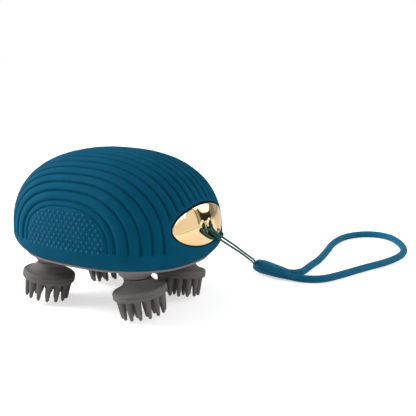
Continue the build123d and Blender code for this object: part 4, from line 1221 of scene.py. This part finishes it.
# ---- heads ----
@dataclass
class MassageHead:
    """One silicone massage head: neck, flared disc and two rings of tapered fingers."""

    number: int
    x: float
    y: float
    lean: float
    tilt: float = 10.0
    pivot_z: float = 26.0
    top_z: float = 20.7
    bore_radius: float = 2.6
    neck_radius: float = 6.8
    neck_end: float = 6.6
    flare_radius: float = 11.6
    # where the flare's curve is pulled to: out from the neck, and up from the disc
    flare_pull: Pair = (1.6, 0.9)
    disc_top: float = 10.4
    disc_bottom: float = 15.0
    disc_radius: float = 13.4
    rim_round: float = 1.5
    # the fine line round the rim: its depth, and half its width outside and inside
    line_depth: float = 0.22
    line_half_widths: Pair = (0.35, 0.1)
    outer_ring: float = 10.3
    outer_count: int = 14
    inner_ring: float = 5.5
    inner_count: int = 7
    finger_end: float = 24.5
    # a finger's radii, each with the share of its length at which it has it
    finger_taper: tuple[Pair, ...] = (
        (1.64, 0.16), (1.47, 0.36), (1.28, 0.56), (1.07, 0.76), (0.93, 0.88), (0.76, 0.945), (0.44, 0.985))
    # a small fillet joins it to the disc: radii and heights over the disc's underside
    finger_fillet: tuple[Pair, ...] = ((2.15, 0.1), (1.9, -0.12), (1.76, -0.45))
    segments: int = 80
    finger_segments: int = 16
    flare_steps: int = 11
    rim_steps: int = 7

    def place(self) -> Matrix:
        """Gives the head's frame.

        Returns:
            The frame: its origin is the pivot, and -Z runs along the tilted axis.
        """
        lean, tilt = math.radians(self.lean), math.radians(self.tilt)
        turn = Matrix.Rotation(lean, 4, "Z") @ Matrix.Rotation(-tilt, 4, "Y")
        return Matrix.Translation((self.x, self.y, self.pivot_z)) @ turn

    def neck_ring(self, radius: float) -> np.ndarray:
        """Gives a ring on the neck's axis, cut off level at the collar.

        Args:
            radius: the ring's radius.

        Returns:
            Its points.
        """
        ring = lathe([(radius, 0.0)], self.segments)[0]
        tilt = math.radians(self.tilt)
        ring[:, 2] = (self.top_z - self.pivot_z - ring[:, 0] * math.sin(tilt)) / math.cos(tilt)
        return ring

    def disc(self) -> Surface:
        """Makes the neck, the flare and the disc with a fine line round its rim.

        Returns:
            The surface in the head's frame.
        """
        start, end = np.array((self.neck_radius, -self.neck_end)), np.array((self.flare_radius, -self.disc_top))
        pull = np.array((self.neck_radius + self.flare_pull[0], -self.disc_top + self.flare_pull[1]))
        flare = [tuple((1 - t) ** 2 * start + 2 * t * (1 - t) * pull + t * t * end)
                 for t in np.linspace(0, 1, self.flare_steps)]
        r, edge = self.rim_round, self.disc_radius
        shoulder, line = edge - r, -(self.disc_top + self.disc_bottom) / 2
        wide, narrow = self.line_half_widths
        rim = [(edge, line + wide), (edge - self.line_depth, line + narrow),
               (edge - self.line_depth, line - narrow), (edge, line - wide)]
        profile = [*flare, (shoulder - 0.12, -self.disc_top + 0.02),
                   *arc((shoulder, -self.disc_top - r), r, 88, 0, self.rim_steps), *rim,
                   *arc((shoulder, -self.disc_bottom + r), r, 0, -90, self.rim_steps),
                   (self.inner_ring, -self.disc_bottom)]
        radii = (self.bore_radius, self.neck_radius - 0.25, self.neck_radius)
        rings = np.concatenate([[self.neck_ring(radius) for radius in radii], lathe(profile, self.segments)])
        surface = Surface()
        surface.add_tube(rings, end=(0, 0, -self.disc_bottom))
        return surface

    def finger(self, radius: float, turn: float) -> Surface:
        """Makes one tapered finger.

        Args:
            radius: the radius of its ring.
            turn: its angle in the ring, in degrees.

        Returns:
            The finger under the disc.
        """
        length = self.finger_end - self.disc_bottom
        profile = [*self.finger_fillet, *((r, -share * length) for r, share in self.finger_taper)]
        surface = Surface()
        surface.add_tube(lathe([(r, z - self.disc_bottom) for r, z in profile], self.finger_segments),
                         end=(0, 0, -self.finger_end))
        return surface.moved(Matrix.Rotation(math.radians(turn), 4, "Z") @ Matrix.Translation((radius, 0, 0)))

    def build(self) -> None:
        """Makes the head."""
        whole = self.disc()
        for count, radius in ((self.outer_count, self.outer_ring), (self.inner_count, self.inner_ring)):
            for i in range(count):
                whole.add(self.finger(radius, 360 * i / count))
        piece = whole.moved(self.place()).piece(f"massage_head_{self.number}", GREY_SILICONE,
                                                f"head_{self.number}", "grey_silicone")
        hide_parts(f"head_claw_{self.number}")


# ---- lanyard ----
@dataclass
class Lanyard:
    """Thin string in a cow hitch through the plate's eyes, a moulded ferrule, and the wrist cord."""

    string_diameter: float = 1.0
    ply_pitch: float = 3.2
    ply_relief: float = 0.12
    cord_diameter: float = 4.2
    cord_seat: float = 14.5
    cord_half_spread: float = 2.1
    cord_fan: float = 12.0
    # distance between the rings of each tube, and points in a ring
    string_rings: tuple[float, int] = (0.32, 12)
    cord_rings: tuple[float, int] = (0.9, 28)
    mouth: Pair = (40.3, 78.7)
    turn: float = -10.0
    length: float = 22.6
    width: float = 11.5
    mouth_height: float = 8.2
    end_height: float = 5.0
    bore_width: float = 6.6
    bore_height: float = 4.6
    bore_depth: float = 5.0
    bore_flare: float = 0.25
    columns: int = 56
    # how full the ferrule's section is at shares of its length
    fullness: tuple[Pair, ...] = (
        (0.0, 0.66), (0.004, 0.71), (0.018, 0.77), (0.045, 0.83), (0.09, 0.89), (0.16, 0.95), (0.26, 1.0),
        (0.4, 1.0), (0.55, 1.0), (0.7, 1.0), (0.82, 0.985), (0.9, 0.955), (0.95, 0.915), (0.98, 0.87),
        (0.995, 0.82), (1.0, 0.76))

    def frame(self) -> Matrix:
        """Gives the ferrule's frame: origin on the floor under its mouth, +X along it."""
        return Matrix.Translation((*self.mouth, 0)) @ Matrix.Rotation(math.radians(self.turn), 4, "Z")

    def in_ferrule(self, along: float, across: float, up: float) -> Point:
        """Gives a point of the ferrule's frame in the model's frame."""
        return tuple(self.frame() @ Vector((along, across, up)))

    def string_route(self) -> list[Point]:
        """Gives the string's route: one length, doubled through both eyes.

        Returns:
            The control points.
        """
        return [
            self.in_ferrule(5.0, 0.8, 4.1), (42.9, 77.4, 4.8), (40.3, 76.9, 6.2), (40.8, 73.4, 8.6),
            (42.2, 68.3, 11.0), (46.4, 52.7, 18.1), (51.4, 32.0, 28.1), (54.8, 17.7, 34.6),
            (56.1, 11.6, 37.5), (56.7, 7.8, 39.2), (56.8, 4.8, 41.2), (56.0, 2.6, 43.6), (55.5, 2.6, 46.0),
            (50.38, 2.9, 46.1), (50.38, -2.9, 46.1), (55.3, -3.2, 46.1), (55.5, -3.6, 44.3),
            (56.0, -1.8, 43.8), (56.7, 0.6, 43.5), (57.5, 2.8, 41.7), (58.0, 5.6, 39.6), (58.0, 8.6, 38.5),
            (57.4, 10.5, 39.7), (55.1, 10.3, 39.6), (54.7, 8.3, 38.1), (54.9, 5.9, 37.3),
            (55.4, 2.2, 38.8), (55.5, -0.6, 40.5), (55.4, -3.2, 42.2), (55.2, -5.2, 43.6),
            (55.0, -4.4, 45.0), (50.38, -2.9, 45.0), (50.38, 2.9, 45.0), (55.2, 1.9, 45.0),
            (55.4, 1.5, 43.0), (55.7, 3.4, 40.9), (56.2, 6.2, 38.6), (55.7, 10.3, 36.5),
            (53.7, 17.2, 33.4), (50.3, 31.2, 27.1), (45.6, 51.6, 17.7), (41.6, 67.0, 10.3),
            (40.3, 72.5, 7.6), (40.1, 75.4, 5.4), (42.3, 76.0, 4.3),
            self.in_ferrule(5.0, -0.8, 4.1)]

    def cord_route(self) -> list[Point]:
        """Gives the wrist cord's route: one loop on the floor, both ends in the ferrule.

        Returns:
            The control points.
        """
        floor, height = self.cord_diameter / 2, self.end_height / 2
        start, half, fan = self.cord_seat, self.cord_half_spread, math.radians(self.cord_fan)
        loop = [(64.8, 100.5), (64.6, 112.0), (60.7, 133.5), (55.4, 156.4), (55.8, 178.6), (67.3, 193.4),
                (82.1, 191.7), (94.1, 177.6), (101.5, 163.1), (103.9, 148.8), (101.1, 131.0), (93.4, 111.4),
                (87.7, 92.8), (82.1, 78.4), (73.5, 73.4)]
        return [
            self.in_ferrule(start, half, height),
            self.in_ferrule(start + 8.0 * math.cos(fan), half + 8.0 * math.sin(fan), height),
            (65.2, 80.9, height), (66.4, 85.2, 2.3), (65.8, 91.6, floor), *[(x, y, floor) for x, y in loop],
            self.in_ferrule(start + 11.0, -half, height), self.in_ferrule(start, -half, height)]

    def line(self, route: Sequence[Point], step: float) -> np.ndarray:
        """Lays a smooth spline over a route and reads its points.

        Args:
            route: the control points.
            step: the distance between the points that come back.

        Returns:
            Points along the spline, in millimetres.
        """
        curve = bpy.data.curves.new("route", "CURVE")
        curve.dimensions = "3D"
        curve.resolution_u = 24
        spline = curve.splines.new("NURBS")
        spline.points.add(len(route) - 1)
        for point, place in zip(spline.points, route):
            point.co = (*place, 1.0)
        spline.order_u = 3
        spline.use_endpoint_u = True
        holder = bpy.data.objects.new("route", curve)
        mesh = bpy.data.meshes.new_from_object(holder)
        points = np.array([v.co for v in mesh.vertices], float)
        bpy.data.objects.remove(holder)
        bpy.data.curves.remove(curve)
        bpy.data.meshes.remove(mesh)
        walked = walked_along(points)
        at = np.linspace(0, walked[-1], max(2, round(walked[-1] / step) + 1))
        return np.stack([np.interp(at, walked, points[:, k]) for k in range(3)], axis=1)

    def tube(self, line: np.ndarray, radius: Callable[[np.ndarray, float], np.ndarray], sides: int) -> Surface:
        """Makes a tube round a line, without twist.

        Args:
            line: the middle line.
            radius: radii round the tube, from the angles and the length reached.
            sides: points in a ring.

        Returns:
            The tube, with its own coordinates along and round it.
        """
        walked = walked_along(line)
        heading = np.gradient(line, axis=0)
        heading /= np.linalg.norm(heading, axis=1, keepdims=True)
        up, angles, rings = np.array((0.0, 0.0, 1.0)), np.linspace(0, 2 * np.pi, sides, endpoint=False), []
        for point, ahead, reached in zip(line, heading, walked):
            up = up - ahead * (up @ ahead)
            up /= np.linalg.norm(up)
            across = np.cross(ahead, up)
            size = radius(angles, reached)[:, None]
            rings.append(point + size * (np.cos(angles)[:, None] * across + np.sin(angles)[:, None] * up))
        surface = Surface()
        surface.add_grid(np.array(rings), closed=True, along=walked.tolist())
        return surface

    def plies(self, angles: np.ndarray, reached: float) -> np.ndarray:
        """Gives the outline of the string's three plies, which turns along the string."""
        lobe = np.abs(np.cos(1.5 * (angles - 2 * np.pi * reached / self.ply_pitch)))
        return self.string_diameter / 2 * (1.00 + self.ply_relief * lobe)

    def string(self) -> None:
        """Makes the twisted string."""
        step, sides = self.string_rings
        line = self.line(self.string_route(), step)
        piece = self.tube(line, self.plies, sides).piece("hitched_string", STRING_TWIST, "case", "teal_cord")
        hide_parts("lanyard_string")

    def cord(self) -> None:
        """Makes the braided wrist cord."""
        step, sides = self.cord_rings
        line = self.line(self.cord_route(), step)
        surface = self.tube(line, lambda angles, reached: np.full(len(angles), self.cord_diameter / 2), sides)
        piece = surface.piece("braided_wrist_cord", WRIST_BRAID, "case", "blue_cord")
        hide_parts("wrist_cord")

    def ferrule(self) -> None:
        """Makes the moulded ferrule with the string's bore in its mouth."""
        angles = np.linspace(0, 2 * np.pi, self.columns, endpoint=False)
        middle, rings = self.mouth_height / 2, []
        for depth, grow in ((self.bore_depth, 0.0), (0.5, 0.0), (0.12, self.bore_flare)):
            rings.append([(depth, (self.bore_width / 2 + grow) * math.cos(a),
                           middle + (self.bore_height / 2 + grow) * math.sin(a)) for a in angles])
        for share, full in self.fullness:
            height = self.mouth_height + (self.end_height - self.mouth_height) * share
            rings.append([(share * self.length, full * self.width / 2 * math.cos(a),
                           height / 2 * (1 + full * math.sin(a))) for a in angles])
        surface = Surface()
        surface.add_tube(rings, (self.bore_depth, 0, middle), (self.length, 0, self.end_height / 2))
        piece = surface.moved(self.frame()).piece("moulded_ferrule", FERRULE_RUBBER, "case", "blue_silicone")
        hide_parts("lanyard_ferrule")

    def build(self) -> None:
        """Makes the three pieces of the lanyard."""
        for make in (self.ferrule, self.string, self.cord):
            make()


# ---- carried-over solids ----
@dataclass
class Interior:
    """The rigid solids that keep their shapes and only take a finish."""

    finishes: Mapping[str, Finish] = field(default_factory=lambda: {
        "upper_housing": BLACK_ABS, "status_lamp": SMOKED_ACRYLIC, "base_plate": TAUPE_ABS,
        "base_gasket": NITRILE, "case_screws": TURNED_STEEL, "gear_plate": BLACK_ABS,
        "gear_plate_screws": TURNED_STEEL, "motor_screws": TURNED_STEEL, "centre_axle": TURNED_STEEL,
        "centre_gear": ACETAL, "drive_pinion": BRONZE_BUSH, "motor_shaft": TURNED_STEEL,
        "motor_gearhead": ZINC_CAN, "motor": ZINC_CAN, "battery_tray": BLACK_ABS, "battery_cell": SHRINK_WRAP,
        "circuit_board": SOLDER_MASK, "button_switch": BLACK_ABS, "charging_board": SOLDER_MASK,
        "charging_socket": NICKEL_SHEET})
    per_head: Mapping[str, Finish] = field(default_factory=lambda: {
        "output_gear": ACETAL, "output_shaft": TURNED_STEEL, "shaft_bush": BRONZE_BUSH, "shaft_seal": NITRILE,
        "head_hub": BLACK_ABS})
    heads: int = 4

    def dress(self, nodes: Mapping[str, Obj]) -> None:
        """Gives every carried-over solid its finish.

        Args:
            nodes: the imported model's objects by name.
        """
        finishes = dict(self.finishes)
        for stem, finish in self.per_head.items():
            finishes.update({f"{stem}_{n}": finish for n in range(1, self.heads + 1)})
        for name, finish in finishes.items():
            mesh = nodes[name].data
            mesh.materials.clear()
            mesh.materials.append(finish.material())
            log.info("%s: %s", name, finish.name)


# ---- studio ----
@dataclass(frozen=True)
class Softbox:
    """One square area lamp that faces the object."""

    name: str
    place: Point
    size: float
    power: float
    target: Point = (0.01, 0.0, 0.04)

    def build(self) -> None:
        """Makes the lamp, in metres."""
        lamp = bpy.data.lights.new(self.name, "AREA")
        lamp.shape, lamp.size, lamp.energy = "SQUARE", self.size, self.power
        made = bpy.data.objects.new(self.name, lamp)
        made.location = self.place
        made.rotation_euler = (Vector(self.target) - Vector(self.place)).to_track_quat("-Z", "Y").to_euler()
        bpy.context.scene.collection.objects.link(made)


@dataclass
class Studio:
    """Pale floor, soft light and the camera. Angles are in degrees, distances in metres."""

    camera_place: Point = (0.2437, -0.3056, 0.1309)
    azimuth: float = 31.67
    elevation: float = 12.09
    # the lens and the sensor are in millimetres
    lens: float = 66.72
    sensor: float = 36.0
    clip: Pair = (0.01, 50.0)
    floor_half: float = 4.0
    # brightness that the camera sees added to the floor, near the object and a metre away
    floor_glow: float = 0.58
    floor_far_glow: float = 0.83
    floor_near: float = 0.25
    # share of it that reflections see, and what is left of it beyond this direction
    floor_mirrored: float = 0.45
    floor_aside: float = 0.0
    aside: Pair = (60.0, 68.0)
    sky: float = 0.36
    ceiling: float = 0.10
    ceiling_edge: Pair = (0.42, 0.62)
    board: float = 0.03
    board_turn: float = 57.0
    board_half: float = 7.0
    board_top: float = 20.0
    # how far inside and outside each edge it fades
    board_soft: Pair = (-1.5, 1.5)
    top_soft: Pair = (-1.0, 1.0)
    reflector: Pair = (60.5, 13.0)
    reflector_half: float = 6.8
    reflector_soft: Pair = (0.7, -0.7)
    reflector_light: float = 2.3
    # direction and brightness of the walls
    walls: tuple[Pair, ...] = (
        (-180, 0.15), (-32, 0.15), (-12, 0.95), (45.0, 0.95), (45.3, 0.03), (47.6, 0.03), (48.0, 0.75),
        (60, 0.75), (63, 0.25), (74, 0.25), (77, 0.50), (98, 0.50), (102, 0.68), (140, 0.68), (150, 0.15),
        (180, 0.15))
    lamps: tuple[Softbox, ...] = (
        Softbox("key_softbox", (-0.72, -0.31, 0.49), 0.50, 9.5),
        Softbox("fill_softbox", (0.80, 0.10, 0.55), 0.60, 2.6),
        Softbox("edge_softbox", (0.55, 0.75, 0.44), 0.28, 1.3))

    def floor(self) -> None:
        """Makes the floor, a pale matt board that keeps the object's shadow."""
        mesh, h = bpy.data.meshes.new("floor"), self.floor_half
        mesh.from_pydata([(-h, -h, 0), (h, -h, 0), (h, h, 0), (-h, h, 0)], [], [(0, 1, 2, 3)])
        made = bpy.data.objects.new("floor", mesh)
        made.location.z = -0.0001
        bpy.context.scene.collection.objects.link(made)
        board = Finish("pale_floor_board", "#F2F2F3", "#F0F0F1", 0.8).material()
        mesh.materials.append(board)
        self.whiten(board.node_tree)

    def whiten(self, tree: Tree) -> None:
        """Adds brightness to the floor that is seen, but puts no light on the object.

        Args:
            tree: the floor's nodes.
        """
        made = {node.type: node for node in tree.nodes}
        shader, end = made["BSDF_PRINCIPLED"], made["OUTPUT_MATERIAL"]
        shader.inputs["Specular IOR Level"].default_value = 0.0
        spot = add_node(tree, "ShaderNodeTexCoord").outputs["Object"]
        reach = add_node(tree, "ShaderNodeVectorMath", {"operation": "LENGTH"}, {0: spot})
        glow = add_node(tree, "ShaderNodeFloatCurve", links={"Value": reach.outputs["Value"]})
        points = glow.mapping.curves[0].points
        points[0].location, points[1].location = (0.0, self.floor_glow), (1.0, self.floor_far_glow)
        points.new(self.floor_near, self.floor_glow)
        # reflections show the floor dimmer, most of all towards the far wall
        rays = add_node(tree, "ShaderNodeLightPath").outputs
        parts = add_node(tree, "ShaderNodeSeparateXYZ", links={0: spot})
        turn = add_node(tree, "ShaderNodeMath", {"operation": "ARCTAN2"}, {
            0: parts.outputs[1], 1: parts.outputs[0]})
        aside = add_node(tree, "ShaderNodeMapRange", {
            "From Min": math.radians(self.aside[0]), "From Max": math.radians(self.aside[1]),
            "To Min": self.floor_mirrored, "To Max": self.floor_aside}, {"Value": turn.outputs[0]})
        strength = add_node(tree, "ShaderNodeMapRange", {"To Min": 1.0}, {
            "Value": rays["Is Glossy Ray"], "To Max": aside.outputs[0]})
        # light that falls on the object doesn't see the glow
        seen = rays["Is Camera Ray"]
        for kind in ("Is Glossy Ray", "Is Transmission Ray"):
            seen = add_node(tree, "ShaderNodeMath", {"operation": "MAXIMUM"}, {
                0: seen, 1: rays[kind]}).outputs[0]
        for share in (glow.outputs[0], seen):
            strength = add_node(tree, "ShaderNodeMath", {"operation": "MULTIPLY"}, {
                0: strength.outputs[0], 1: share})
        light = add_node(tree, "ShaderNodeEmission", {"Color": grey(1.0)}, {"Strength": strength.outputs[0]})
        both = add_node(tree, "ShaderNodeAddShader", links={0: shader.outputs[0], 1: light.outputs[0]})
        tree.links.new(both.outputs[0], end.inputs["Surface"])

    def wall_light(self, tree: Tree, turn: Socket) -> Socket:
        """Gives the brightness of the walls in a direction.

        Args:
            tree: the world's nodes.
            turn: the direction round the object, in radians.

        Returns:
            The walls' colour.
        """
        share = add_node(tree, "ShaderNodeMapRange", {"From Min": -math.pi, "From Max": math.pi},
                         {"Value": turn})
        walls = add_node(tree, "ShaderNodeValToRGB", links={0: share.outputs[0]})
        marks = walls.color_ramp.elements
        for element, (degrees, bright) in zip([*marks, *(marks.new(0.5) for _ in self.walls[2:])], self.walls):
            element.position, element.color = (degrees + 180) / 360, grey(bright)
        return walls.outputs[0]

    def board_share(self, tree: Tree, turn: Socket, height: Socket) -> Socket:
        """Marks where a dark board stands low before the white wall.

        Args:
            tree: the world's nodes.
            turn: the direction round the object, in radians.
            height: how far up the direction points.

        Returns:
            One on the board and zero beside it.
        """
        away = add_node(tree, "ShaderNodeMath", {
            "operation": "SUBTRACT", 1: math.radians(self.board_turn)}, {0: turn})
        away = add_node(tree, "ShaderNodeMath", {"operation": "ABSOLUTE"}, {0: away.outputs[0]})
        inner, outer = (math.radians(self.board_half + soft) for soft in self.board_soft)
        below, above = (math.sin(math.radians(self.board_top + soft)) for soft in self.top_soft)
        beside, under = (
            add_node(tree, "ShaderNodeMapRange", {
                "From Min": low, "From Max": high, "To Min": 1.0, "To Max": 0.0}, {"Value": value})
            for value, low, high in ((away.outputs[0], inner, outer), (height, below, above)))
        return add_node(tree, "ShaderNodeMath", {"operation": "MULTIPLY"}, {
            0: beside.outputs[0], 1: under.outputs[0]}).outputs[0]

    def reflector_share(self, tree: Tree, way: Socket) -> Socket:
        """Marks where a round white reflector hangs in front of the board.

        Args:
            tree: the world's nodes.
            way: the direction.

        Returns:
            One on the reflector and zero beside it.
        """
        turned, raised = (math.radians(v) for v in self.reflector)
        middle = (math.cos(turned) * math.cos(raised), math.sin(turned) * math.cos(raised), math.sin(raised))
        toward = add_node(tree, "ShaderNodeVectorMath", {"operation": "DOT_PRODUCT", 1: middle}, {0: way})
        outer, inner = (math.cos(math.radians(self.reflector_half + soft)) for soft in self.reflector_soft)
        return add_node(tree, "ShaderNodeMapRange", {"From Min": outer, "From Max": inner}, {
            "Value": toward.outputs["Value"]}).outputs[0]

    def world(self) -> None:
        """Lights the room evenly. The camera sees it white, and reflections see its walls bright or dark."""
        world = bpy.data.worlds.new("studio")
        world.use_nodes = True
        tree = world.node_tree
        tree.nodes.clear()
        way = add_node(tree, "ShaderNodeTexCoord").outputs["Generated"]
        parts = add_node(tree, "ShaderNodeSeparateXYZ", links={0: way})
        turn = add_node(tree, "ShaderNodeMath", {"operation": "ARCTAN2"}, {
            0: parts.outputs[1], 1: parts.outputs[0]}).outputs[0]
        low, high = self.ceiling_edge
        top = add_node(tree, "ShaderNodeMapRange", {
            "interpolation_type": "SMOOTHSTEP", "From Min": low, "From Max": high}, {"Value": parts.outputs[2]})
        rays = add_node(tree, "ShaderNodeLightPath").outputs
        clear = add_node(tree, "ShaderNodeMath", {"operation": "MAXIMUM"}, {
            0: rays["Is Camera Ray"], 1: rays["Is Transmission Ray"]})
        # the walls end at a dim ceiling, and the board and the reflector stand before them
        room = self.wall_light(tree, turn)
        for share, bright in ((top.outputs[0], self.ceiling),
                              (self.board_share(tree, turn, parts.outputs[2]), self.board),
                              (self.reflector_share(tree, way), self.reflector_light)):
            room = add_node(tree, "ShaderNodeMix", {"data_type": "RGBA", 7: grey(bright)}, {
                0: share, 6: room}).outputs[2]
        # only reflections see the room: all else is lit evenly, and the camera sees white
        shown = add_node(tree, "ShaderNodeMix", {"data_type": "RGBA", 6: grey(self.sky)}, {
            0: rays["Is Glossy Ray"], 7: room})
        shown = add_node(tree, "ShaderNodeMix", {"data_type": "RGBA", 7: grey(1.0)}, {
            0: clear.outputs[0], 6: shown.outputs[2]})
        light = add_node(tree, "ShaderNodeBackground", links={"Color": shown.outputs[2]})
        add_node(tree, "ShaderNodeOutputWorld", links={"Surface": light.outputs[0]})
        bpy.context.scene.world = world

    def camera(self) -> None:
        """Makes the camera."""
        data = bpy.data.cameras.new("camera")
        data.lens, data.sensor_width = self.lens, self.sensor
        data.clip_start, data.clip_end = self.clip
        made = bpy.data.objects.new("camera", data)
        bpy.context.scene.collection.objects.link(made)
        a, e = math.radians(self.azimuth), math.radians(self.elevation)
        back = Vector((math.sin(a) * math.cos(e), -math.cos(a) * math.cos(e), math.sin(e)))
        made.location = self.camera_place
        made.rotation_mode = "QUATERNION"
        made.rotation_quaternion = (-back).to_track_quat("-Z", "Y")
        bpy.context.scene.camera = made

    def build(self) -> None:
        """Makes the floor, the room, the lamps and the camera."""
        self.floor()
        self.world()
        for lamp in self.lamps:
            lamp.build()
        self.camera()
        bpy.context.scene.view_settings.view_transform = "Standard"


def main() -> None:
    """Builds every sub-assembly in order."""
    logging.basicConfig(level=logging.INFO, format="%(name)s: %(message)s")
    Interior().dress(frame["nodes"])
    sleeve = Sleeve()
    sleeve.build()
    sleeve.grip_dots(-1)
    sleeve.grip_dots(1)
    LanyardPlate().build()
    controls = Controls()
    controls.button()
    controls.plug()
    heads = ((-26.6, -20.364, -148.0), (26.6, -20.364, 15.0), (26.6, 20.364, -83.0), (-26.6, 20.364, 15.0))
    for number, (x, y, lean) in enumerate(heads, 1):
        MassageHead(number, x, y, lean).build()
    Lanyard().build()
    Studio().build()
    bpy.context.view_layer.update()


if __name__ == "__main__":
    main()
